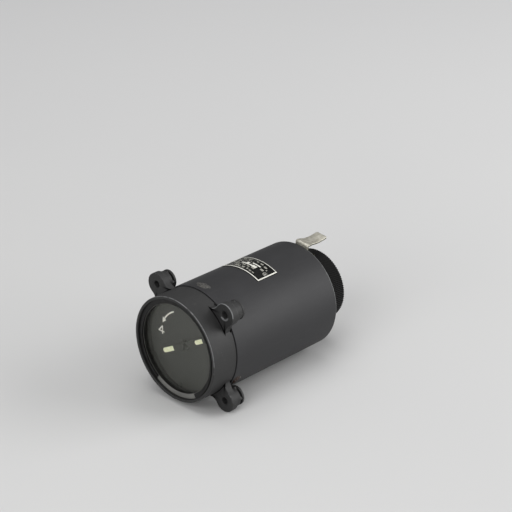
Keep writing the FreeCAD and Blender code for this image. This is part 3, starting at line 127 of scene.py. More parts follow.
# Evenly spaced angles of one turn, without the last, which is the first again
def fullTurn(count):
    return np.linspace(0, 2 * np.pi, count, endpoint=False)


# Closes a tube: one more loop at each end, drawn together to the middle of the end loop
def capEnds(points, axis=0):
    loops = np.moveaxis(points, axis, 0)
    caps = [np.broadcast_to(loop.mean(axis=0), loops[:1].shape) for loop in (loops[0], loops[-1])]
    return np.moveaxis(np.concatenate([caps[0], loops, caps[1]]), 0, axis)


# Closed shells, given as (points, faces, wear and painted light), joined into one mesh
def joinShells(shells):
    points, faces, wearAndPaintedLight, offset = [], [], [], 0
    for shellPoints, shellFaces, shellWearAndPaintedLight in shells:
        flat = shellPoints.reshape(-1, 3)
        points.append(flat)
        faces += (shellFaces + offset).tolist()
        wearAndPaintedLight.append(np.broadcast_to(shellWearAndPaintedLight, shellPoints.shape[:-1]).ravel())
        offset += len(flat)
    return np.concatenate(points), faces, np.concatenate(wearAndPaintedLight)


# Makes the mesh in metres from millimetres, closes its seams and poles, and turns its faces outwards
def makePiece(name, shells, material, body="housing", replaces=(), sharp=38):
    points, faces, wearAndPaintedLight = joinShells(shells)
    mesh = bpy.data.meshes.new(name)
    mesh.from_pydata((points * mm).tolist(), [], faces)
    mesh.attributes.new("wearAndPaintedLight", "FLOAT", "POINT").data.foreach_set("value", wearAndPaintedLight.astype(np.float32))
    cleaner = bmesh.new()
    cleaner.from_mesh(mesh)
    bmesh.ops.remove_doubles(cleaner, verts=cleaner.verts, dist=2e-7)
    bmesh.ops.recalc_face_normals(cleaner, faces=cleaner.faces)
    cleaner.to_mesh(mesh)
    cleaner.free()
    mesh.shade_smooth()
    mesh.set_sharp_from_angle(angle=math.radians(sharp))
    mesh.materials.append(material)
    piece = bpy.data.objects.new(name, mesh)
    bpy.context.scene.collection.objects.link(piece)
    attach(piece, body)
    if replaces:
        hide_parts(*replaces)
    print(name, len(mesh.polygons), "faces")
    return piece


# A ring: each point of the eased profile goes once round the Y axis
def turnedShell(corners, eases, count=256, wearAndPaintedLightShare=1.0):
    path, wearAndPaintedLight = easedPath(corners, eases)
    wearAndPaintedLight = wearAndPaintedLight.reshape(len(corners), -1) * np.broadcast_to(wearAndPaintedLightShare, len(corners))[:, None]
    points = carriedRound(path, fullTurn(count))
    return points, gridFaces(len(path), count), wearAndPaintedLight.reshape(-1, 1) * np.ones(count)


# A split ring: the profile carried over part of a turn, with both ends closed
def splitShell(corners, eases, startAngle, sweep, count=200):
    path, wearAndPaintedLight = easedPath(corners, eases)
    angles = np.radians(np.linspace(startAngle, startAngle + sweep, count))
    points = capEnds(carriedRound(path, angles), 1)
    return points, gridFaces(len(path), count + 2, closeColumns=False), wearAndPaintedLight[:, None] * np.ones(count + 2)


# A plate with an outline: rows run from the hole or middle, over the front, the edge and the back
def plateShell(rows, outline, place, wearAndPaintedLight=0.0):
    # rows holds (inner radius or None, inset of the outline, y, wear and painted light); place turns (aside,
    # out, y) into space
    back = np.roll(outline, 1, axis=0)
    ahead = np.roll(outline, -1, axis=0)
    along = ahead - back
    inward = np.stack([-along[:, 1], along[:, 0]], -1) / np.linalg.norm(along, axis=1, keepdims=True)
    middle = np.array([0.0, place["middle"]])
    spoke = outline - middle
    spoke /= np.linalg.norm(spoke, axis=1, keepdims=True)
    loops = [
        (middle + spoke * inner if inner is not None else outline + inward * inset)
        for inner, inset, _, _ in rows
    ]
    flat = np.stack(loops)
    y = np.array([row[2] for row in rows])[:, None]
    points = turnedPoints(flat[..., 0], y, flat[..., 1], place["angle"])
    rowWearAndPaintedLight = np.array([row[3] for row in rows])[:, None] * wearAndPaintedLight * np.ones(len(outline))
    return points, gridFaces(len(rows), len(outline)), rowWearAndPaintedLight


# Node materials

# From sRGB hex to linear: below 0.04045 by a straight line, above by a power of 2.4
def hexColour(text):
    parts = np.array([int(text[i:i + 2], 16) for i in (1, 3, 5)]) / 255
    linear = np.where(parts <= 0.04045, parts / 12.92, ((parts + 0.055) / 1.055) ** 2.4)
    return (*linear.tolist(), 1.0)


# The scale of a noise whose grains are this many millimetres apart
def scaleOf(length):
    return 1000 / length


# Adds a node and gives one of its outputs. A key is a socket's name or number, or else a setting
def addNode(tree, kind, values, links, output=0):
    node = tree.nodes.new("ShaderNode" + kind)
    for key, value in values.items():
        if isinstance(key, int) or key in node.inputs:
            node.inputs[key].default_value = value
        else:
            setattr(node, key, value)
    for key, source in links.items():
        tree.links.new(source, node.inputs[key])
    return node.outputs[output]


def startMaterial(name, sockets):
    material = bpy.data.materials.new(name)
    material.use_nodes = True
    tree = material.node_tree
    shader = tree.nodes["Principled BSDF"]
    for key, value in sockets.items():
        shader.inputs[key].default_value = value
    return material, tree, shader, addNode(tree, "TexCoord", {}, {}, "Object")


# Satin black enamel sprayed over metal: dark grey with faint dusty clouds, fine rubs, a few pale
# nicks, and bare metal where the attribute marks an edge: worn edges, and painted highlights along lit edges
def sprayedEnamel(name, look):
    material, tree, shader, place = startMaterial(name, {"IOR": look.get("ior", 1.5)})
    clouds = addNode(tree, "TexNoise", {"Scale": scaleOf(look["cloud"]), "Detail": 4.0, "Roughness": 0.6},
                     {"Vector": place})
    dusty = addNode(tree, "MapRange", {"From Min": 0.35, "From Max": 0.72}, {"Value": clouds})
    paint = addNode(tree, "Mix", {"data_type": "RGBA", 6: hexColour(look["paint"]),
                    7: hexColour(look["dusty"])}, {0: dusty}, 2)
    # rubs are noise drawn out along the way that hands and cloths pass
    drawn = addNode(tree, "Mapping", {"Scale": look["rubStretch"]}, {"Vector": place})
    rubs = addNode(tree, "TexNoise", {"Scale": scaleOf(look["rub"]), "Detail": 5.0, "Roughness": 0.65},
                   {"Vector": drawn})
    rubbed = addNode(tree, "MapRange", {"From Min": 0.56, "From Max": 0.76, "To Max": look["rubShare"]},
                     {"Value": rubs})
    paint = addNode(tree, "Mix", {"data_type": "RGBA", 7: hexColour(look["rubbed"])},
                    {0: rubbed, 6: paint}, 2)
    specks = addNode(tree, "TexNoise", {"Scale": scaleOf(look["nick"]), "Detail": 2.0}, {"Vector": place})
    nicked = addNode(tree, "MapRange", {"From Min": look["nickFrom"], "From Max": look["nickFrom"] + 0.03,
                     "To Max": look["nickShare"]}, {"Value": specks})
    paint = addNode(tree, "Mix", {"data_type": "RGBA", 7: hexColour(look["metal"])},
                    {0: nicked, 6: paint}, 2)
    # bare-metal colour on the marked edges is partly wear and partly a painted highlight
    wearAndPaintedLight = addNode(tree, "Attribute", {"attribute_name": "wearAndPaintedLight"}, {}, "Fac")
    ragged = addNode(tree, "TexNoise", {"Scale": scaleOf(look["chip"]), "Detail": 5.0, "Roughness": 0.7},
                     {"Vector": place})
    raggedWearAndHighlight = addNode(tree, "Math", {"operation": "MULTIPLY"}, {0: wearAndPaintedLight, 1: ragged})
    bareAndHighlight = addNode(tree, "MapRange", {"From Min": look["chipFrom"], "From Max": look["chipFrom"] + 0.1},
                   {"Value": raggedWearAndHighlight})
    colour = addNode(tree, "Mix", {"data_type": "RGBA", 7: hexColour(look["metal"])},
                     {0: bareAndHighlight, 6: paint}, 2)
    tree.links.new(colour, shader.inputs["Base Color"])
    gloss = addNode(tree, "MapRange", {"From Min": 0.3, "From Max": 0.75, "To Min": look["rough"][0],
                    "To Max": look["rough"][1]}, {"Value": clouds})
    tree.links.new(gloss, shader.inputs["Roughness"])
    metallic = addNode(tree, "Math", {"operation": "MULTIPLY", 1: 0.8}, {0: bareAndHighlight})
    tree.links.new(metallic, shader.inputs["Metallic"])
    grain = addNode(tree, "TexNoise", {"Scale": scaleOf(look["grain"]), "Detail": 3.0, "Roughness": 0.6},
                    {"Vector": place})
    bump = addNode(tree, "Bump", {"Strength": 1.0, "Distance": look["grainDepth"] * mm}, {"Height": grain})
    tree.links.new(bump, shader.inputs["Normal"])
    return material


# Bare metal: tool or brush lines drawn out one way, uneven gloss and patches of tarnish
def bareMetal(name, look):
    material, tree, shader, place = startMaterial(name, {"Metallic": 1.0})
    drawn = addNode(tree, "Mapping", {"Scale": look["stretch"]}, {"Vector": place})
    lines = addNode(tree, "TexNoise", {"Scale": scaleOf(look["line"]), "Detail": 3.0, "Roughness": 0.6},
                    {"Vector": drawn})
    patches = addNode(tree, "TexNoise", {"Scale": scaleOf(look["patch"]), "Detail": 5.0, "Roughness": 0.65},
                      {"Vector": place})
    dull = addNode(tree, "MapRange", {"From Min": 0.4, "From Max": 0.7, "To Max": look["tarnished"]},
                   {"Value": patches})
    colour = addNode(tree, "Mix", {"data_type": "RGBA", 6: hexColour(look["metal"]),
                     7: hexColour(look["tarnish"])}, {0: dull}, 2)
    # the attribute marks edges: the nickel strip's cut edges, which the plating left bare and brown, and
    # the spring ring's edges, painted nearly black as painted shade
    edge = addNode(tree, "Attribute", {"attribute_name": "wearAndPaintedLight"}, {}, "Fac")
    colour = addNode(tree, "Mix", {"data_type": "RGBA", 7: hexColour(look.get("edge", look["tarnish"]))},
                     {0: edge, 6: colour}, 2)
    tree.links.new(colour, shader.inputs["Base Color"])
    gloss = addNode(tree, "MapRange", {"To Min": look["rough"] * 0.75, "To Max": look["rough"] * 1.35},
                    {"Value": lines})
    tree.links.new(gloss, shader.inputs["Roughness"])
    bump = addNode(tree, "Bump", {"Strength": 1.0, "Distance": look["depth"] * mm}, {"Height": lines})
    tree.links.new(bump, shader.inputs["Normal"])
    return material


# Moulded, painted or dried non-metal: one colour with soft clouds of a second and a fine surface grain
def cloudedSolid(name, look):
    sockets = {"Roughness": look["rough"], "IOR": look.get("ior", 1.5)}
    material, tree, shader, place = startMaterial(name, sockets)
    clouds = addNode(tree, "TexNoise", {"Scale": scaleOf(look["cloud"]), "Detail": 4.0, "Roughness": 0.6},
                     {"Vector": place})
    share = addNode(tree, "MapRange", {"From Min": 0.35, "From Max": 0.7}, {"Value": clouds})
    colour = addNode(tree, "Mix", {"data_type": "RGBA", 6: hexColour(look["colour"]),
                     7: hexColour(look["second"])}, {0: share}, 2)
    tree.links.new(colour, shader.inputs["Base Color"])
    grain = addNode(tree, "TexNoise", {"Scale": scaleOf(look["grain"]), "Detail": 3.0, "Roughness": 0.6},
                    {"Vector": place})
    bump = addNode(tree, "Bump", {"Strength": 1.0, "Distance": look["depth"] * mm}, {"Height": grain})
    tree.links.new(bump, shader.inputs["Normal"])
    return material


# Sheet stacks, windings and sleeves: one line for each sheet, wire or thread, darker between them
def linedSolid(name, look):
    sockets = {"Roughness": look["rough"], "Metallic": look["metallic"]}
    material, tree, shader, place = startMaterial(name, sockets)
    # a wave of scale 1 is pi / 10 metres long, so the scale is that over one line's width
    lines = addNode(tree, "TexWave", {"bands_direction": look["across"], "Detail": 1.0, "Distortion": 0.4,
                    "Scale": math.pi / 10 / (look["line"] * mm)}, {"Vector": place}, "Fac")
    patches = addNode(tree, "TexNoise", {"Scale": 300.0, "Detail": 4.0}, {"Vector": place})
    tone = addNode(tree, "Mix", {"data_type": "RGBA", 6: hexColour(look["colour"]),
                   7: hexColour(look["second"])}, {0: patches}, 2)
    ridge = addNode(tree, "MapRange", {"From Min": 0.0, "From Max": 0.35}, {"Value": lines})
    colour = addNode(tree, "Mix", {"data_type": "RGBA", 6: hexColour(look["gap"])},
                     {0: ridge, 7: tone}, 2)
    tree.links.new(colour, shader.inputs["Base Color"])
    bump = addNode(tree, "Bump", {"Strength": 1.0, "Distance": look["depth"] * mm}, {"Height": lines})
    tree.links.new(bump, shader.inputs["Normal"])
    return material


# Every length in a look is in millimetres. A casting's coarse skin shows through its paint, the drawn tube is
# smooth under its spray, and the knurl's paint is dull, deep black
castingLook = {
    "paint": "#212121", "dusty": "#2a2a2a", "cloud": 14,
    "rubbed": "#3e3e3c", "rub": 3.0, "rubStretch": (1, 1, 1),
    "rubShare": 0.4, "nick": 0.8, "nickFrom": 0.74, "nickShare": 0.4, "metal": "#878889", "chip": 2.5,
    "chipFrom": 0.3, "rough": (0.56, 0.68), "grain": 0.8, "grainDepth": 0.06,
}
tubeLook = {
    "paint": "#202022", "dusty": "#272729", "cloud": 26,
    "rubbed": "#323233", "rub": 2.2, "rubStretch": (1, 0.12, 1),
    "rubShare": 0.35, "nick": 0.7, "nickFrom": 0.77, "nickShare": 0.4, "metal": "#a3a4a4", "chip": 1.6,
    "chipFrom": 0.5, "rough": (0.56, 0.64), "grain": 0.35, "grainDepth": 0.012,
}
knurlLook = {
    "paint": "#080808", "dusty": "#0e0e0d", "cloud": 8,
    "rubbed": "#1d1d1c", "rub": 2.0, "rubStretch": (1, 1, 1),
    "rubShare": 0.25, "nick": 0.7, "nickFrom": 0.76, "nickShare": 0.2, "metal": "#4b4944", "chip": 1.2,
    "chipFrom": 0.6, "rough": (0.7, 0.8), "grain": 0.4, "grainDepth": 0.015, "ior": 1.33,
}
etchedLook = dict(tubeLook, paint="#0d0d0d", dusty="#262625", cloud=5, rough=(0.3, 0.42), grain=0.25, ior=1.2)
springLook = {"metal": "#3a3a3a", "tarnish": "#262523", "edge": "#0c0c0c",
              "tarnished": 0.7, "patch": 4, "line": 0.3,
              "stretch": (1, 1, 1), "rough": 0.4, "depth": 0.01}
turnedLook = {"metal": "#a9a8a4", "tarnish": "#7a756c", "tarnished": 0.6, "patch": 4, "line": 0.25,
              "stretch": (1, 12, 1), "rough": 0.33, "depth": 0.01}
nickelLook = {"metal": "#dcd9cd", "tarnish": "#a5a192", "edge": "#3b3a26",
              "tarnished": 0.75, "patch": 3.5, "line": 0.5,
              "stretch": (6, 1, 6), "rough": 0.5, "depth": 0.015}

# blacking leaves the spring ring dark with a dull sheen; its edges are painted nearly black as painted shade
springSteel = bareMetal("blackened_spring_steel", springLook)
# turned and ground metals show fine lines round the axis, softer or brighter with the tool
turnedSteel = bareMetal("turned_steel", turnedLook)
groundSteel = bareMetal("ground_bearing_steel", dict(turnedLook, metal="#d2d2d0", tarnished=0.15, rough=0.15))
# old nickel is a warm clouded grey, brown where the strip was cut; its darker copy, nearly black, is painted
# shade on the latch's guide
nickelPlate = bareMetal("dull_nickel_on_pressed_steel", nickelLook)
shadedNickel = bareMetal("nickel_plate_darkened_for_shade",
                            dict(nickelLook, metal="#3f3d36", tarnish="#1e1d19", rough=0.55))
machinedAluminium = bareMetal("machined_aluminium",
                              dict(turnedLook, metal="#c9c9c8", tarnish="#9c9a95", rough=0.36))
turnedBrass = bareMetal("turned_brass", dict(turnedLook, metal="#c9a24e", tarnish="#8a6a2c", rough=0.3))

# matt paints scatter the light and hardly shine; the grain of 0.3 mm is drawn coarser than the real pigment
matPaintLook = {"colour": "#1c1c1b", "second": "#212120", "cloud": 9, "rough": 0.72, "grain": 0.3,
                "depth": 0.003}
dialPaint = cloudedSolid("aged_matt_dial_paint", matPaintLook)
pointerPaint = cloudedSolid("matt_black_pointer_paint",
                            dict(matPaintLook, colour="#1d1d1a", second="#242421"))
dialWhite = cloudedSolid("brushed_white_dial_paint",
                         dict(matPaintLook, colour="#f0efe6", second="#d8d7cb", cloud=1.5))
# aged luminous paint is thick, chalky and pale yellow-green
lumePaint = cloudedSolid("aged_luminous_paint",
                         dict(matPaintLook, colour="#fbfddc", second="#e4e8b4", cloud=1.4,
                         depth=0.03))
# near-black matt paint for painted shade: it draws the dark lines in the corners
paintedShadeBlack = cloudedSolid("painted_shade_black",
                           dict(matPaintLook, colour="#050505", second="#0a0a0a", cloud=3,
                           rough=0.85, ior=1.15))


# Grey washer paint, dull and a little cloudy, whose bore is painted near black as painted shade: the
# distance from the axis tells the face from the bore
def washerWithShadedBore():
    look = dict(matPaintLook, colour="#696966", second="#7a7975", cloud=5, rough=0.5)
    boreRadius, faceRadius = 33.33, 33.42
    material = cloudedSolid("grey_washer_paint_with_shaded_bore", look)
    tree = material.node_tree
    shader = tree.nodes["Principled BSDF"]
    painted = shader.inputs["Base Color"].links[0].from_socket
    place = addNode(tree, "TexCoord", {}, {}, "Object")
    flat = addNode(tree, "VectorMath", {"operation": "MULTIPLY", 1: (1, 0, 1)}, {0: place})
    radius = addNode(tree, "VectorMath", {"operation": "LENGTH"}, {0: flat}, "Value")
    face = addNode(tree, "MapRange", {"From Min": boreRadius * mm, "From Max": faceRadius * mm},
                   {"Value": radius})
    # the bore's near-black colour is painted shade
    colour = addNode(tree, "Mix", {"data_type": "RGBA", 6: hexColour("#050505")}, {0: face, 7: painted}, 2)
    tree.links.new(colour, shader.inputs["Base Color"])
    return material


washerPaint = washerWithShadedBore()
agedRubber = cloudedSolid("aged_black_rubber",
                          dict(matPaintLook, colour="#161615", second="#232322", rough=0.8))
# sealing compound dried in grey and brown lumps with a rough skin; phenolic is smooth dark brown
sealLook = {"colour": "#2a2a29", "second": "#5d5b57", "cloud": 1.5, "rough": 0.6, "grain": 0.5, "depth": 0.08}
sealWax = cloudedSolid("dried_sealing_compound", sealLook)
brownSealWax = cloudedSolid("brown_sealing_compound",
                            dict(sealLook, colour="#180d07", second="#3a2314", rough=0.5))
phenolicLook = {"colour": "#2a1810", "second": "#38221a", "cloud": 6, "rough": 0.35, "grain": 0.5,
                "depth": 0.01}
mouldedPhenolic = cloudedSolid("moulded_phenolic", phenolicLook)
# paint wiped into the etched plate: bright where it is broad, rubbed to grey where it is fine
fillLook = {"colour": "#f0efe6", "second": "#d6d5cb", "cloud": 1.5, "rough": 0.5, "grain": 0.3, "depth": 0.01}
silverFill = cloudedSolid("silver_white_plate_fill", fillLook)
greyFill = cloudedSolid("rubbed_grey_plate_fill", dict(fillLook, colour="#b3b2a8", second="#6d6c65", cloud=1))

# threads, sheets and wires of 0.5 mm, coarser than the real ones so that they show
sleeveLook = {"colour": "#b89c63", "second": "#8e7445", "gap": "#5a4526", "line": 0.5, "across": "Y",
              "rough": 0.5, "metallic": 0.0, "depth": 0.05}
wovenSleeve = linedSolid("varnished_woven_sleeve", sleeveLook)
stackLook = {"colour": "#62615f", "second": "#44423f", "gap": "#1f1e1c", "line": 0.5, "across": "Y",
             "rough": 0.42, "metallic": 0.8, "depth": 0.03}
sheetStack = linedSolid("varnished_sheet_steel_stack", stackLook)
windingLook = {"colour": "#a4532a", "second": "#7a3718", "gap": "#3c1a0b", "line": 0.45, "across": "X",
               "rough": 0.3, "metallic": 0.6, "depth": 0.08}
copperWinding = linedSolid("enamelled_copper_winding", windingLook)


glassLook = {"film": "#b9b9ae", "filmScale": 110.0, "filmShare": (0.003, 0.014), "filmRough": 0.05,
             "mirror": "#e9ece1", "rough": 0.04, "ior": 1.5, "squareShare": 0.04}


# Clear flat glass with a thin film of dust: what lies behind shows, under a faint green mirror image
def agedGlass():
    look = glassLook
    sockets = {"Base Color": hexColour(look["film"]), "IOR": look["ior"], "Roughness": look["filmRough"]}
    material, tree, shader, place = startMaterial("aged_flat_glass", sockets)
    drawn = addNode(tree, "Mapping", {"Scale": (1, 1, 0.3)}, {"Vector": place})
    film = addNode(tree, "TexNoise", {"Scale": look["filmScale"], "Detail": 5.0, "Roughness": 0.6},
                   {"Vector": drawn})
    alpha = addNode(tree, "MapRange", {"From Min": 0.3, "From Max": 0.75, "To Min": look["filmShare"][0],
                                       "To Max": look["filmShare"][1]},
                    {"Value": film})
    tree.links.new(alpha, shader.inputs["Alpha"])
    # each face mirrors 4% of what meets it squarely and more of what grazes it, by Schlick's rule
    slant = addNode(tree, "LayerWeight", {"Blend": 0.5}, {}, "Facing")
    steep = addNode(tree, "Math", {"operation": "POWER", 1: 5.0}, {0: slant})
    share = addNode(tree, "MapRange", {"To Min": look["squareShare"], "To Max": 1.0}, {"Value": steep})
    mirror = addNode(tree, "BsdfGlossy", {"Roughness": look["rough"], "Color": hexColour(look["mirror"])}, {})
    glaze = addNode(tree, "MixShader", {}, {0: share, 1: shader.outputs[0], 2: mirror})
    tree.links.new(glaze, tree.nodes["Material Output"].inputs["Surface"])
    return material


finishes = {
    "dark_steel": springSteel, "washer_paint": washerPaint, "glass": agedGlass(),
    "rubber": agedRubber, "dial_face": dialPaint,
    "pointer_paint": pointerPaint, "lume": lumePaint, "seal_compound": sealWax, "nickel": nickelPlate,
    "plate_black": sprayedEnamel("etched_black_plate", etchedLook), "steel": turnedSteel,
    "bright_steel": groundSteel, "aluminium": machinedAluminium, "brass": turnedBrass,
    "core_steel": sheetStack, "enamelled_wire": copperWinding, "phenolic": mouldedPhenolic,
    "wire_cover": wovenSleeve, "housing_paint": sprayedEnamel("satin_enamel_on_casting", castingLook),
    "case_paint": sprayedEnamel("satin_enamel_on_drawn_tube", tubeLook),
    "knurl_paint": sprayedEnamel("black_enamel_on_milled_knurl", knurlLook),
}
slotOf = {part["node"]: part["material_slot"] for part in frame["record"]["subparts"]}
for name, node in nodes.items():
    node.data.materials.clear()
    node.data.materials.append(finishes[slotOf[name]])
# the latch's guide and its screws get the darker nickel: painted shade between the case and the knurled ring
for guideName in ("lock_guide", "lock_guide_screws"):
    nodes[guideName].data.materials[0] = shadedNickel
print("materials made:", len(finishes))


# Front casting: the rim, the drum and four lugs

housing = {
    "rimFront": -15.5, "drumRadius": 39.35, "seam": 6.3, "pocketRadius": 37.3,
    "grooveRadius": 38.0, "snapFront": -14.1, "snapBack": -13.2, "ledge": -9.4, "ledgeRadius": 36.3,
    "dialBack": -3.9, "flangeBore": 30.9, "flangeBack": 1.1, "spigotRadius": 38.3, "spigotBore": 36.5,
    "spigotBack": 19.0, "rimWearAndHighlight": 0.85, "rimHighlightAt": 62, "steps": 320,
}
lug = {
    "angles": (45, 135, 225, 315), "wearsAndPaintedLight": (1.0, 0.55, 0.5, 0.6), "circle": 47.5, "tip": 8.4,
    "hole": 2.6, "sink": 1.5, "sinkDepth": 0.5, "flare": 9.8, "rootRadius": 38.15, "rootSpread": 19.6,
    "plateBack": 5.4, "edge": 0.4, "upperEdgeFrom": 0.75, "bossRadius": 7.2, "slotFront": 9.4, "slotBack": 11.2,
    "bossBack": 12.8, "slotFloor": 42.6,
}


# The rim, the drum and the spigot are one profile, carried round the Y axis
def drumShell():
    h = housing
    corners = [
        (h["drumRadius"], h["rimFront"]), (h["drumRadius"], h["seam"]), (h["spigotRadius"], h["seam"]),
        (h["spigotRadius"], h["spigotBack"]),
        (h["spigotBore"], h["spigotBack"]), (h["spigotBore"], h["flangeBack"]),
        (h["flangeBore"], h["flangeBack"]), (h["flangeBore"], h["dialBack"]),
        (h["ledgeRadius"], h["dialBack"]), (h["ledgeRadius"], h["ledge"]), (h["pocketRadius"], h["ledge"]),
        (h["pocketRadius"], h["snapBack"]), (h["grooveRadius"], h["snapBack"]),
        (h["grooveRadius"], h["snapFront"]), (h["pocketRadius"], h["snapFront"]),
        (h["pocketRadius"], h["rimFront"]),
    ]
    eases = [0.55, 0.35, 0.05, 0.2, 0.2, 0.05, 0.2, 0.2, 0.05, 0.15, 0.05, 0.05, 0.05, 0.05, 0.05, 0.85]
    points, faces, wearAndPaintedLight = turnedShell(corners, eases, h["steps"], wearAndPaintedLightShare=[h["rimWearAndHighlight"]] + [0.0] * 15)
    # the rim's outer edge is bare most at its top right, and less by the cosine of the angle from there:
    # partly wear, partly a painted highlight where the light falls
    rubbed = np.clip(1.3 * np.cos(fullTurn(h["steps"]) - math.radians(h["rimHighlightAt"])) + 0.2, 0, 1)
    return points, faces, wearAndPaintedLight * rubbed


# An arc: the centre plus the radius times the cosine and sine of evenly spaced angles
def arcPoints(centre, radius, start, end, count):
    angles = np.linspace(start, end, count, endpoint=False)
    return np.stack([centre[0] + radius * np.cos(angles), centre[1] + radius * np.sin(angles)], -1)


# The lug's outline: a round tip, a hollow flare on each side tangent to it, and a base arc in the drum
def lugOutline():
    tip = np.array([0.0, lug["circle"]])
    spread = math.radians(lug["rootSpread"])
    root = lug["rootRadius"] * np.array([math.sin(spread), math.cos(spread)])
    gap = root - tip
    distance = np.linalg.norm(gap)
    reach = lug["tip"] + lug["flare"]
    along = (reach**2 - lug["flare"] ** 2 + distance**2) / (2 * distance)
    ahead = gap / distance
    middle = tip + ahead * along + np.array([-ahead[1], ahead[0]]) * math.sqrt(reach**2 - along**2)
    toMiddle = math.atan2(*(middle - tip)[::-1])
    toTip = math.atan2(*(tip - middle)[::-1])
    toRoot = math.atan2(*(root - middle)[::-1]) % (2 * math.pi)
    rootAngle = math.pi / 2 - spread
    tipArc = arcPoints(tip, lug["tip"], toMiddle, math.pi - toMiddle, 44)
    leftMiddle = middle * (-1, 1)
    leftFlare = arcPoints(leftMiddle, lug["flare"], math.pi - toTip, math.pi - toRoot, 16)
    base = arcPoints((0, 0), lug["rootRadius"], math.pi - rootAngle, rootAngle, 12)
    rightFlare = arcPoints(middle, lug["flare"], toRoot, toTip, 16)
    return np.concatenate([tipArc, leftFlare, base, rightFlare])


# Rows over a rounded edge: a quarter circle from the face to the side, or from the side to the back
def frontEdge(edge, y, steps=5):
    t = np.linspace(0, np.pi / 2, steps)
    return [(None, edge * (1 - math.sin(a)), y + edge * (1 - math.cos(a)), 1.0) for a in t]


def backEdge(edge, y, steps=4):
    t = np.linspace(0, np.pi / 2, steps)
    return [(None, edge * (1 - math.cos(a)), y - edge * (1 - math.sin(a)), 0.7) for a in t]


# A lug: a front plate with a countersunk hole, two round bosses with the nut's slot between, and a web
def lugShells(angle, wearAndPaintedLight):
    place = {"angle": angle, "middle": lug["circle"]}
    hole, sink, edge = lug["hole"], lug["sinkDepth"], lug["edge"]
    rim = hole + lug["sink"]
    rows = [
        (hole, 0, lug["plateBack"], 0), (hole, 0, sink + 0.15, 0), (hole + 0.08, 0, sink, 0.4),
        (rim - 0.15, 0, 0.06, 1.3), (rim + 0.1, 0, 0, 1.0), (rim + 0.4, 0, 0, 0),
        (None, edge * 2.2, 0, 0), *frontEdge(edge, 0), (None, 0, edge * 1.8, 0),
        (None, 0, lug["plateBack"] - edge, 0), *backEdge(edge * 0.6, lug["plateBack"]),
        (None, edge * 2, lug["plateBack"], 0),
    ]
    outline = lugOutline()
    turn = math.radians(angle)
    height = outline[:, 1] * math.sin(turn) - outline[:, 0] * math.cos(turn)
    upperWearAndHighlight = np.clip((height - lug["circle"] * math.sin(turn)) / lug["tip"] + lug["upperEdgeFrom"], 0, 1)
    # the outer edge is bare on its upper side, partly wear and partly a painted highlight where the light
    # falls; the countersink's lower left edge is a painted highlight
    sinkHighlight = outline[:, 0] * 0.85 - (outline[:, 1] - lug["circle"]) * 0.5
    sinkHighlight = np.clip(1.2 * sinkHighlight / lug["tip"], 0, 1)
    rowUses = np.where(np.arange(len(rows))[:, None] < 6, sinkHighlight[None, :] * wearAndPaintedLight**2, upperWearAndHighlight[None, :])
    shells = [plateShell(rows, outline, place, wearAndPaintedLight * rowUses)]
    ring = arcPoints((0, lug["circle"]), lug["bossRadius"], 0, 2 * math.pi, 72)
    for front, back in ((lug["plateBack"] - 0.3, lug["slotFront"]), (lug["slotBack"], lug["bossBack"])):
        rows = [
            (hole, 0, back - 0.1, 0), (hole, 0, front, 0), (hole + 0.3, 0, front, 0),
            (None, 0.6, front, 0), *frontEdge(0.25, front), (None, 0, front + 0.5, 0),
            (None, 0, back - 0.5, 0), *backEdge(0.25, back), (None, 0.6, back, 0), (hole + 0.3, 0, back, 0),
        ]
        shells.append(plateShell(rows, ring, place, wearAndPaintedLight * 0.4))
    # the web in front of the slot's floor, a segment of the boss's circle
    half = math.acos((lug["circle"] - lug["slotFloor"]) / lug["bossRadius"])
    foot = -math.pi / 2
    arc = arcPoints((0, lug["circle"]), lug["bossRadius"] - 0.02, foot - half, foot + half, 24)
    chord = np.stack([np.linspace(arc[-1, 0], arc[0, 0], 14)[1:-1], np.full(12, lug["slotFloor"])], -1)
    web = np.concatenate([arc, chord])
    centre = float(web[:, 1].mean())
    rows = [
        (0.0, 0, lug["slotFront"] - 0.1, 0), (None, 0, lug["slotFront"] - 0.1, 0),
        (None, 0, lug["slotBack"] + 0.1, 0), (0.0, 0, lug["slotBack"] + 0.1, 0),
    ]
    shells.append(plateShell(rows, web, {"angle": angle, "middle": centre}))
    return shells


# A strip in the casting's paint closes the slot of the upper right lug, so that no dark slot shows there
slotCover = {"lug": 45, "start": 14, "sweep": 176, "inner": 0.55, "outer": 0.3, "overlap": 0.1, "steps": 40}


# A thin bent strip that bridges the slot: an arc round the lug's hole with an oblong section
def slotSkin():
    start, sweep = slotCover["start"], slotCover["sweep"]
    around = np.radians(np.linspace(start, start + sweep, slotCover["steps"]))
    depth = [slotCover["inner"]] * 2 + [slotCover["outer"]] * 2
    radius = lug["bossRadius"] - np.array(depth)[:, None]
    front, back = lug["slotFront"] - slotCover["overlap"], lug["slotBack"] + slotCover["overlap"]
    y = np.array([front, back, back, front])[:, None]
    aside, out = radius * np.cos(around), lug["circle"] + radius * np.sin(around)
    points = capEnds(turnedPoints(aside, y, out, slotCover["lug"]), 1)
    return points, gridFaces(*points.shape[:2], closeColumns=False), 0.0


castingShells = [drumShell(), slotSkin()]
for lugAngle, lugWearAndPaintedLight in zip(lug["angles"], lug["wearsAndPaintedLight"]):
    castingShells += lugShells(lugAngle, lugWearAndPaintedLight)
makePiece("front_casting", castingShells, finishes["housing_paint"], replaces=["front_housing"])


# Matt black lining on the wall between the glass and the dial, darker than the casting's paint

lining = {"outer": 36.32, "inner": 36.22, "front": -9.35, "back": -4.72}
liningSides = (("outer", "front"), ("outer", "back"), ("inner", "back"), ("inner", "front"))
corners = [(lining[r], lining[y]) for r, y in liningSides]
makePiece("wall_lining", [turnedShell(corners, 0.02, 200, 0.0)], agedRubber)


# Split spring ring that holds the glass

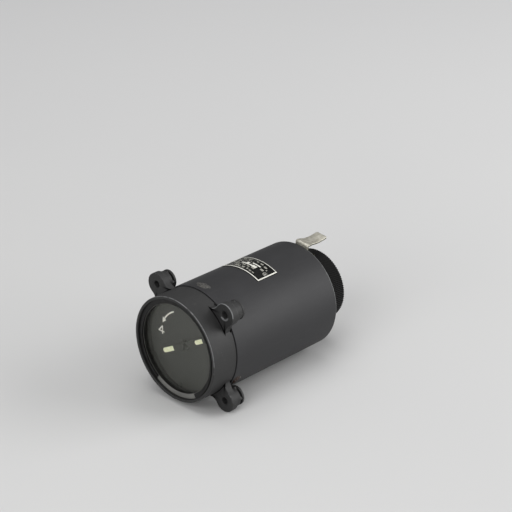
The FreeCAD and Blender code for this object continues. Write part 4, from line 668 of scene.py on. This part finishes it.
snapRing = {"inner": 33.6, "outer": 37.9, "front": -14.1, "back": -13.2, "start": -58, "sweep": 295,
            "ease": 0.2}
s = snapRing
snapCorners = [(s["inner"], s["front"]), (s["outer"], s["front"]), (s["outer"], s["back"]),
               (s["inner"], s["back"])]
makePiece(
    "snap_ring_wire", [splitShell(snapCorners, s["ease"], s["start"], s["sweep"])], springSteel,
    replaces=["snap_ring"],
)


# Painted shade: a near-black crescent in the corner between the rim and the ring, widest at the upper right

rimShade = {"outer": 37.26, "width": 2.35, "at": 22, "spread": 76, "front": -14.1, "high": 0.12, "steps": 6}


# A crescent: its width falls as a cosine from the middle angle, its height as a half sine across the width
def rimShadeShell():
    g = rimShade
    across, share = np.meshgrid(np.linspace(0, 1, g["steps"]), np.linspace(-1, 1, 120), indexing="ij")
    width = 0.02 + g["width"] * np.cos(share * np.pi / 2) ** 0.8
    angle = np.radians(g["at"] + share * g["spread"])
    high = g["high"] * np.sin(across * np.pi / 2) * np.cos(share * np.pi / 2) ** 0.5
    radius = g["outer"] - width * (1 - across)
    top = carriedPoints(radius, g["front"] - 0.01 - high, angle)
    bottom = carriedPoints(radius, g["front"] + 0.02, angle)
    points = capEnds(np.concatenate([top, bottom[::-1]]), 1)
    return points, gridFaces(*points.shape[:2], closeColumns=False), 0.0


# The same painted shade in the corner at each lug's foot
lugFootShade = {"inner": 39.3, "back": 0.02, "size": 0.52, "spread": 18.5, "taper": 0.3, "steps": 60}


# A wedge whose three corners keep their angles, and whose size falls off evenly towards both ends
def lugFootShadeShell(angle):
    share = np.linspace(-1, 1, lugFootShade["steps"])
    size = lugFootShade["size"] * np.clip((1 - np.abs(share)) / lugFootShade["taper"], 0.06, 1)
    radius = lugFootShade["inner"] + np.array([0, 0, 1.05])[:, None] * size
    y = lugFootShade["back"] - np.array([1, 0, 0])[:, None] * size
    points = carriedPoints(radius, y, np.radians(angle + lugFootShade["spread"] * share))
    points = capEnds(points, 1)
    return points, gridFaces(*points.shape[:2], closeColumns=False), 0.0


lugFootShades = [lugFootShadeShell(angle) for angle in lug["angles"]]
makePiece("rim_and_lug_foot_painted_shade", [rimShadeShell(), *lugFootShades], paintedShadeBlack)


# Case: a drawn tube with an inner ledge for the cover

case = {"front": 6.65, "rear": 109.5, "outer": 40.0, "bore": 38.4, "ledgeBore": 34.5, "ledgeFront": 102.9,
        "ledgeBack": 105.9, "rearEase": 0.4, "wearAndPaintedLight": (0.0, 0.0, 2.0, 0.0, 0.0, 0.0, 0.0, 0.0), "steps": 320}
c = case
caseCorners = [
    (c["bore"], c["front"]), (c["outer"], c["front"]), (c["outer"], c["rear"]), (c["bore"], c["rear"]),
    (c["bore"], c["ledgeBack"]), (c["ledgeBore"], c["ledgeBack"]), (c["ledgeBore"], c["ledgeFront"]),
    (c["bore"], c["ledgeFront"]),
]
caseEases = [0.05, 0.35, c["rearEase"], 0.3, 0.05, 0.1, 0.1, 0.1]
# the rear outer edge's share of 2.0 paints a highlight line in bare-metal colour along that edge
caseShell = turnedShell(caseCorners, caseEases, case["steps"], case["wearAndPaintedLight"])
makePiece("case_shell", [caseShell], finishes["case_paint"], replaces=["case_tube"])


# Lumps of sealing compound over the three case screws

seal = {"base": 39.9, "surface": 40.0, "height": 1.1, "steps": 14, "around": 56}
topLump = {"angle": 90, "place": 13.1, "halfAcross": 6.0, "halfAlong": 3.1, "phase": 0.4}
leftLump = dict(topLump, angle=210, halfAcross=4.7, halfAlong=2.5, phase=2.1)
brownLump = dict(topLump, angle=328.6, place=11.4, halfAcross=4.2, halfAlong=3.4, phase=4.0)


# A low dome over an oval, its height falling as a rounded bell and roughened by a few waves
def sealShell(lump):
    share, around = np.meshgrid(np.linspace(0, 1, seal["steps"]), fullTurn(seal["around"]), indexing="ij")
    phase = lump["phase"]
    wobble = 1 + 0.1 * np.sin(3 * around + phase) + 0.07 * np.sin(5 * around + 2 * phase)
    across = lump["halfAcross"] * share * wobble * np.cos(around)
    along = lump["halfAlong"] * share * wobble * np.sin(around)
    lumps = 0.75 + 0.25 * np.sin(across * 1.9 + phase) * np.cos(along * 2.3 - phase)
    depth = seal["surface"] - seal["base"]
    height = depth + (seal["height"] - depth) * (1 - share**2.6) ** 0.8 * lumps
    turn = math.radians(lump["angle"]) + across / seal["surface"]
    top = carriedPoints(seal["base"] + height, lump["place"] + along, turn)
    bottom = carriedPoints(seal["base"] - depth, lump["place"] + along, turn)
    points = np.concatenate([top, bottom[::-1]])
    return points, gridFaces(len(points), seal["around"]), 0.0


makePiece("seal_lumps", [sealShell(topLump), sealShell(leftLump)], sealWax, replaces=["screw_seals"])
makePiece("seal_lump_brown", [sealShell(brownLump)], brownSealWax)


# Knurled ring: milled teeth outside, a thread inside, a collar at its front end

knurl = {"tip": 27.5, "depth": 0.55, "teeth": 96, "rows": 40, "lead": 260, "front": 109.7, "rear": 132.8,
         "ease": 0.6, "collarBack": 112.7, "collarBore": 20.3, "bore": 24.0, "threadDepth": 0.5,
         "pitch": 1.5, "turns": 10, "threadLead": 1.2, "toothSteps": 8, "crest": 0.22, "slope": 1.7}


# The outer radius follows a clipped triangle wave that climbs round the ring as a screw; the rest is round
def knurlShell():
    k = knurl
    angles = fullTurn(k["teeth"] * k["toothSteps"])
    t = np.linspace(0, np.pi / 2, 4)
    level = np.zeros(k["rows"])
    outerInset = np.concatenate([k["ease"] * (1 - np.sin(t)), level, k["ease"] * (1 - np.cos(t))])
    outerY = np.concatenate([
        k["front"] + k["ease"] * (1 - np.cos(t)), np.linspace(k["front"] + 1.0, k["rear"] - 1.0, k["rows"]),
        k["rear"] - k["ease"] * (1 - np.sin(t)),
    ])
    climb = (outerY - k["front"])[:, None] / k["lead"]
    wave = np.abs((((angles / (2 * np.pi) + climb) * k["teeth"]) % 1) * 2 - 1)
    teeth = k["depth"] * np.clip((wave - k["crest"]) * k["slope"], 0, 1)
    outer = k["tip"] - teeth - outerInset[:, None]
    start = k["collarBack"] + k["threadLead"]
    threadY = start + np.arange(2 * k["turns"] + 1) * k["pitch"] / 2
    threadRadius = k["bore"] + k["threadDepth"] * (np.arange(2 * k["turns"] + 1) % 2)
    innerY = np.concatenate([
        [k["rear"], k["rear"] - 0.35], threadY[::-1],
        [k["collarBack"], k["collarBack"], k["front"] + 0.2, k["front"]]
    ])
    innerRadius = np.concatenate([
        [k["bore"] + 0.45, k["bore"]], threadRadius[::-1],
        [k["bore"], k["collarBore"], k["collarBore"], k["collarBore"] + 0.2],
    ])
    radius = np.concatenate([outer, np.repeat(innerRadius[:, None], len(angles), axis=1)])
    points = carriedPoints(radius, np.concatenate([outerY, innerY])[:, None], angles)
    wearAndPaintedLight = np.zeros(radius.shape)
    wearAndPaintedLight[:len(outerY)] = 0.75 * (teeth < 0.05)
    wearAndPaintedLight[:3] = wearAndPaintedLight[len(outerY) - 3:len(outerY)] = 0.85
    return points, gridFaces(len(points), len(angles)), wearAndPaintedLight


makePiece("knurled_ring", [knurlShell()], finishes["knurl_paint"], body="coupling_ring",
          replaces=["coupling_ring"], sharp=28)


# Sliding latch: a bent strip with a finger tab, and a slotted blade down to the knurled ring

latch = {
    "angle": 84, "thickness": 1.5, "bladeY": 110.55, "bladeEnd": 27.8, "toothTop": 29.4, "toothHalf": 1.4,
    "half": 6.0, "tongueHalf": 5.0, "slotHalf": 1.3, "slotStart": 30.4, "slotEnd": 36.18, "joint": 37.6,
    "path": [(110.55, 37.4), (110.55, 41.95), (122.3, 40.1), (132.3, 41.4)], "bend": 1.0, "dip": 4.5,
    "shoulderFrom": 112.6, "shoulderTo": 117.0, "tipRound": 1.4, "edge": 0.28,
}


# Turns points given aside, along Y and outwards to the latch's angle
def placeLatch(aside, y, out):
    return turnedPoints(aside, y, out, latch["angle"])


# The strip's middle line: straight runs joined by parabolas, resampled evenly
def tabPath(count):
    corners = np.array(latch["path"])
    pieces = [corners[:1]]
    for corner, before, after, reach in (
        (corners[1], corners[0], corners[2], latch["bend"]),
        (corners[2], corners[1], corners[3], latch["dip"])
    ):
        start = corner + (before - corner) / np.linalg.norm(before - corner) * reach
        end = corner + (after - corner) / np.linalg.norm(after - corner) * reach
        t = np.linspace(0, 1, 24)[:, None]
        pieces.append((1 - t) ** 2 * start + 2 * t * (1 - t) * corner + t**2 * end)
    pieces.append(corners[-1:])
    path = np.concatenate(pieces)
    length = np.concatenate([[0], np.cumsum(np.linalg.norm(np.diff(path, axis=0), axis=1))])
    even = np.linspace(0, length[-1], count)
    return np.stack([np.interp(even, length, path[:, i]) for i in (0, 1)], -1), even


# The strip: a rounded oblong section carried along the line, narrowed at the shoulder and round-cornered
def tabShell():
    path, along = tabPath(90)
    tangent = np.gradient(path, along, axis=0)
    tangent /= np.linalg.norm(tangent, axis=1, keepdims=True)
    normal = np.stack([-tangent[:, 1], tangent[:, 0]], -1)
    left = along[-1] - along
    shoulder = latch["shoulderTo"] - latch["shoulderFrom"]
    narrow = np.clip((path[:, 0] - latch["shoulderFrom"]) / shoulder, 0, 1)
    narrow = narrow**2 * (3 - 2 * narrow) * (latch["half"] - latch["tongueHalf"])
    tip = latch["tipRound"]
    corner = tip - np.sqrt(np.maximum(tip**2 - np.maximum(tip - left, 0) ** 2, 0))
    half = latch["half"] - narrow - corner
    edge = latch["edge"]
    inset = np.maximum(edge - left, 0) * 0.8
    quarter = np.linspace(0, np.pi / 2, 4)
    turns = np.concatenate([quarter + k * np.pi / 2 for k in range(4)])
    signAside = np.repeat([1, -1, -1, 1], 4)
    signOut = np.repeat([1, 1, -1, -1], 4)
    aside = (half - inset)[:, None] * signAside - edge * signAside + edge * np.cos(turns)
    lift = (latch["thickness"] / 2 - inset)[:, None] * signOut - edge * signOut + edge * np.sin(turns)
    y = path[:, :1] + normal[:, :1] * lift
    out = path[:, 1:] + normal[:, 1:] * lift
    points = placeLatch(aside, y, out)
    points = capEnds(points)
    # the cut sides are bare below, and the plating still wraps their upper edges
    cutEdge = np.array([0.35, 0, 0, 0, 0, 0, 0, 0.35, 0.9, 0.9, 0.5, 0, 0, 0.5, 0.9, 0.9])
    return points, gridFaces(len(points), len(turns), closeRows=False), cutEdge


# The blade below it: a frame round the spring's slot, with the tooth at its foot
def bladeShell():
    half, tooth, slot = latch["half"] - 0.02, latch["toothHalf"], latch["slotHalf"]
    foot, shoulder, top = latch["bladeEnd"], latch["toothTop"] - 0.02, latch["joint"]
    outer = np.array([
        (0, foot), (tooth, foot), (tooth, shoulder - 0.1), (half, shoulder), (half, 33), (half, top),
        (0, top), (-half, top), (-half, 33), (-half, shoulder), (-tooth, shoulder - 0.1), (-tooth, foot),
    ])
    start, end = latch["slotStart"], latch["slotEnd"]
    inner = np.array([
        (0, start), (slot * 0.5, start), (slot * 0.8, start), (slot, start), (slot, 33), (slot, end),
        (0, end),
        (-slot, end), (-slot, 33), (-slot, start), (-slot * 0.8, start), (-slot * 0.5, start),
    ])
    outer[2:10, 1] = np.maximum(outer[2:10, 1], shoulder - 0.1)
    low = latch["bladeY"] - latch["thickness"] / 2 + 0.02
    high = latch["bladeY"] + latch["thickness"] / 2 - 0.02
    loops = ((inner, low), (outer, low), (outer, high), (inner, high))
    rows = [placeLatch(loop[:, 0], y, loop[:, 1]) for loop, y in loops]
    return np.stack(rows), gridFaces(4, len(outer)), 0.0


makePiece("latch_tab", [tabShell(), bladeShell()], nickelPlate, body="lock_slide", replaces=["lock_slide"])


# The latch's spring: a small coil between the foot of the blade's slot and the guide's pin

spring = {"start": 30.44, "end": 34.5, "radius": 0.45, "wire": 0.14, "turns": 7.5, "travel": 2.0,
          "steps": 180}


# A helix: a point goes round the line of travel as it moves out, and carries a small circle with it
def coilShell():
    around = 2 * np.pi * spring["turns"] * np.linspace(0, 1, spring["steps"])[:, None]
    section = fullTurn(8)
    reach = spring["radius"] + spring["wire"] * np.cos(section)
    foot, head = spring["start"] + spring["wire"], spring["end"] - spring["wire"]
    rise = np.linspace(foot, head, spring["steps"])[:, None]
    points = placeLatch(
        reach * np.cos(around), latch["bladeY"] + reach * np.sin(around),
        rise + spring["wire"] * np.sin(section)
    )
    points = capEnds(points)
    return points, gridFaces(len(points), len(section), closeRows=False), 0.0


coil = makePiece("latch_spring_coil", [coilShell()], finishes[slotOf["lock_spring"]], body="housing",
                 replaces=["lock_spring"])
# the coil's end at the pin and the latch's outward direction; the coil gets its own copy of its mesh
pinEnd = placeLatch(0.0, latch["bladeY"], spring["end"]) * mm
outwards = placeLatch(0.0, 0.0, 1.0)
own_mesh(coil)


# Dial marks: an arrow that bends round and a plain numeral, brushed on

dialMarks = {
    "front": -4.7, "raise": 0.04, "arrowRadius": 24.5, "arrowFrom": 117, "arrowTo": 157.5, "arrowHalf": 0.58,
    "headLength": 4.3, "headHalf": 1.95, "numeralAt": (-23.8, 3.3), "numeralHigh": 6.5, "numeralHalf": 0.48,
}


# A thin closed box between four edge lines
def boxBetween(edges):
    points = capEnds(np.stack(edges, axis=1))
    return points, gridFaces(len(points), 4, closeRows=False), 0.0


# A flat ribbon along a line, its half width given at each point
def ribbonShell(line, halfWidth, low, high):
    tangent = np.gradient(line, axis=0)
    tangent /= np.linalg.norm(tangent, axis=1, keepdims=True)
    side = np.stack([-tangent[:, 1], tangent[:, 0]], -1) * np.asarray(halfWidth)[:, None]
    left, right = line + side, line - side
    edges = ((left, low), (left, high), (right, high), (right, low))
    rows = [np.insert(edge, 1, y, axis=1) for edge, y in edges]
    return boxBetween(rows)


# The arrow is an arc of even width, and its head narrows evenly to a point
def arrowShell():
    m = dialMarks
    head = math.degrees(m["headLength"] / m["arrowRadius"])
    angles = np.concatenate([
        np.linspace(m["arrowFrom"], m["arrowTo"] - head, 30),
        np.linspace(m["arrowTo"] - head + 0.05, m["arrowTo"], 12)
    ])
    width = np.concatenate([np.full(30, m["arrowHalf"]), np.linspace(m["headHalf"], 0.04, 12)])
    width[:4] *= np.array([0.5, 0.8, 0.92, 0.98])
    turn = np.radians(angles)
    line = m["arrowRadius"] * np.stack([np.cos(turn), np.sin(turn)], -1)
    return ribbonShell(line, width, m["front"] + 0.01, m["front"] - m["raise"])


# The numeral 4: a slanting stroke, a bar and an upright, each a straight ribbon
def numeralShells():
    m = dialMarks
    high = m["numeralHigh"]
    strokes = [
        ((0.13, 0.5), (-0.42, -0.18)), ((-0.5, -0.18), (0.42, -0.18)), ((0.13, 0.5), (0.13, -0.5)),
    ]
    shells = []
    for index, stroke in enumerate(strokes):
        line = np.linspace(*(np.array(point) * high for point in stroke), 8) + m["numeralAt"]
        raised = m["front"] - m["raise"] * (1 + 0.1 * index)
        shells.append(ribbonShell(line, np.full(8, m["numeralHalf"]), m["front"] + 0.01, raised))
    return shells


makePiece("dial_marks", [arrowShell(), *numeralShells()], dialWhite)


# Data plate: a silver border with a bow round each pin, and plain rules where writing was

plate = {"angle": 90, "halfSpread": 26, "start": 50.0, "length": 19.6, "radius": 40.42, "raise": 0.05,
         "sunk": 0.02, "border": 0.85}


# A patch of the plate between two distances across and two along, as a thin closed box that bends round
def plateStrip(acrossFrom, acrossTo, alongFrom, alongTo, lift=1.0, count=24):
    across = np.linspace(acrossFrom, acrossTo, count)
    turn = math.radians(plate["angle"]) - across / plate["radius"]
    low, high = plate["radius"] - plate["sunk"], plate["radius"] + plate["raise"] * lift
    rows = [
        carriedPoints(r, plate["start"] + y, turn)
        for r, y in ((low, alongFrom), (high, alongFrom), (high, alongTo), (low, alongTo))
    ]
    return boxBetween(rows)


# Part of a ring round a pin, a flat arc laid on the bent plate
def plateBow(acrossAt, alongAt, radius, width, startAngle, sweep):
    around = np.radians(np.linspace(startAngle, startAngle + sweep, 24))
    rows = []
    low, high = plate["radius"] - plate["sunk"], plate["radius"] + plate["raise"]
    for reach, out in ((radius, low), (radius, high), (radius + width, high), (radius + width, low)):
        turn = math.radians(plate["angle"]) - (acrossAt + reach * np.cos(around)) / plate["radius"]
        rows.append(carriedPoints(out, plate["start"] + alongAt + reach * np.sin(around), turn))
    return boxBetween(rows)


plateHalf = math.radians(plate["halfSpread"]) * plate["radius"] - 0.12
edge, long = plate["border"], plate["length"]
borderStrips = [
    plateStrip(-plateHalf, plateHalf, 0.15, 0.15 + edge, count=48),
    plateStrip(-plateHalf, plateHalf, long - 0.15 - edge * 0.55, long - 0.15, count=48),
    plateStrip(-plateHalf, -plateHalf + edge, 0.3, long - 0.3, 1.1),
    plateStrip(plateHalf - edge * 1.2, plateHalf, 0.3, long - 0.3, 1.1),
    plateStrip(-7.5, 2.5, 8.9, 10.2, 1.2), plateStrip(2.5, 6.6, 8.3, 10.9, 1.2),
    plateStrip(-3.6, -1.6, 10.2, 12.2, 1.2),
    plateStrip(0.2, 7.9, 12.2, 13.3, 1.2),
]
# each rule is (from, to, place along, width): short dashes in rows, as plain stand-ins for writing
rules = [
    (-12, -8.5, 15.6, 0.9), (-7, -4, 15.6, 0.9), (0.8, 2.6, 16.0, 1.1), (4.6, 7.2, 15.6, 1.3),
    (9, 11.6, 14.6, 1.5), (-11.5, -7, 6.0, 1.0), (-4.5, -1.5, 6.4, 1.0), (0.2, 2.4, 6.2, 1.3),
    (4.0, 6.8, 6.6, 1.4), (9.4, 12.2, 10.2, 1.7), (-8.5, -4.0, 3.2, 0.9), (-1.5, 0.8, 3.0, 1.2),
    (2.6, 3.8, 3.0, 1.8), (5.2, 7.4, 2.8, 1.1), (8.4, 10.4, 2.8, 1.0), (-12.8, -10.4, 9.4, 0.9),
    (-12.8, -10.4, 11.8, 0.9), (12.6, 13.6, 13.0, 1.2),
]
# fine dashes in even rows on the left part, shorter in every second row
for row, alongAt in enumerate((2.4, 4.4, 7.6, 11.4, 13.6, 17.2)):
    for step in range(7):
        start = -13.6 + 2.1 * step + 0.5 * (row % 2)
        rules.append((start, start + (0.9 if row % 2 else 1.3), alongAt, 0.55))
makePiece("plate_border", borderStrips, silverFill)
bows = [plateBow(15.5, 9.8, 1.35, 0.55, 60, 240), plateBow(-15.5, 9.8, 1.35, 0.45, -90, 180)]
makePiece("plate_rules", [plateStrip(a, b, y, y + w) for a, b, y, w in rules] + bows, greyFill)
print("pieces made")


# Floor, lamps and camera

floor = {"half": 6.0, "frontY": 0.0054, "frontZ": -0.04202, "rearY": 0.109, "rearZ": -0.04003,
         "near": "#cfcfcf", "cloudy": "#d4d4d3", "far": "#e2e2e2", "paleFrom": 0.15, "paleTo": 0.9}


# A plain floor that touches the lower lugs' tips and the case's rear edge, so it slopes by about a degree
def makeFloor():
    f = floor
    slope = (f["rearZ"] - f["frontZ"]) / (f["rearY"] - f["frontY"])
    x, y = np.meshgrid([-f["half"], f["half"]], [-f["half"], f["half"]])
    z = f["frontZ"] + slope * (y - f["frontY"])
    mesh = bpy.data.meshes.new("studio_floor")
    mesh.from_pydata(np.stack([x, y, z], -1).reshape(-1, 3).tolist(), [], [(0, 1, 3, 2)])
    sockets = {"Roughness": 0.9, "Specular IOR Level": 0.2}
    material, tree, shader, place = startMaterial("matt_grey_paper", sockets)
    clouds = addNode(tree, "TexNoise", {"Scale": 4.0, "Detail": 2.0}, {"Vector": place})
    colour = addNode(tree, "Mix", {"data_type": "RGBA", 6: hexColour(f["near"]),
                     7: hexColour(f["cloudy"])}, {0: clouds}, 2)
    # painted light: the paper is painted paler behind the object, where the lamps reach it less
    depth = addNode(tree, "VectorMath", {"operation": "DOT_PRODUCT", 1: (-0.75, 0.66, 0)}, {0: place},
                    "Value")
    far = addNode(tree, "MapRange", {"From Min": f["paleFrom"], "From Max": f["paleTo"]}, {"Value": depth})
    colour = addNode(tree, "Mix", {"data_type": "RGBA", 7: hexColour(f["far"])}, {0: far, 6: colour}, 2)
    tree.links.new(colour, shader.inputs["Base Color"])
    mesh.materials.append(material)
    piece = bpy.data.objects.new("studio_floor", mesh)
    bpy.context.scene.collection.objects.link(piece)


makeFloor()

# The main soft box stands behind on the right, a second one hangs overhead, a third fills the front
lamps = [
    {"name": "rear_right_box", "at": (1.15, 1.15, 0.68), "size": (1.3, 1.3), "power": 21},
    {"name": "top_box", "at": (-0.15, 0.1, 1.7), "size": (1.5, 1.5), "power": 12},
    {"name": "front_box", "at": (0.35, -1.4, 0.9), "size": (1.2, 1.2), "power": 14},
]
aim = np.array([0, 0.05, 0])


# Puts a lamp or camera in the scene: its matrix has its three axes and its place as columns
def placeHolder(name, data, right, up, back, at):
    holder = bpy.data.objects.new(name, data)
    turn = np.eye(4)
    turn[:3] = np.stack([right, up, back, at], -1)
    holder.matrix_world = Matrix(turn.tolist())
    bpy.context.scene.collection.objects.link(holder)
    return holder


for lamp in lamps:
    light = bpy.data.lights.new(lamp["name"], "AREA")
    light.shape = "RECTANGLE"
    light.size, light.size_y = lamp["size"]
    light.energy = lamp["power"]
    back = np.array(lamp["at"]) - aim
    back /= np.linalg.norm(back)
    right = np.cross((0, 0, 1), back)
    right /= np.linalg.norm(right)
    placeHolder(lamp["name"], light, right, np.cross(back, right), back, lamp["at"])

sky = {"colour": "#e6e6e7", "strength": 0.35}
world = bpy.data.worlds.new("studio")
bpy.context.scene.world = world
world.use_nodes = True
background = world.node_tree.nodes["Background"]
background.inputs["Color"].default_value = hexColour(sky["colour"])
background.inputs["Strength"].default_value = sky["strength"]

# The camera's place, right and up axes and focal length were solved from the photograph
view = {"place": (0.7640585, -0.7369712, 0.5696959), "right": (0.72190945, 0.69194249, 0.00789524),
        "up": (-0.30134484, 0.30408385, 0.903728), "back": (0.62292699, -0.65478897, 0.4280343),
        "lens": 120.765}
cameraData = bpy.data.cameras.new("photo_camera")
cameraData.sensor_width = 36
cameraData.lens = view["lens"]
cameraData.clip_end = 50
axes = (view["right"], view["up"], view["back"])
bpy.context.scene.camera = placeHolder("photo_camera", cameraData, *axes, view["place"])
bpy.context.scene.view_settings.view_transform = "Standard"

print("scene ready")
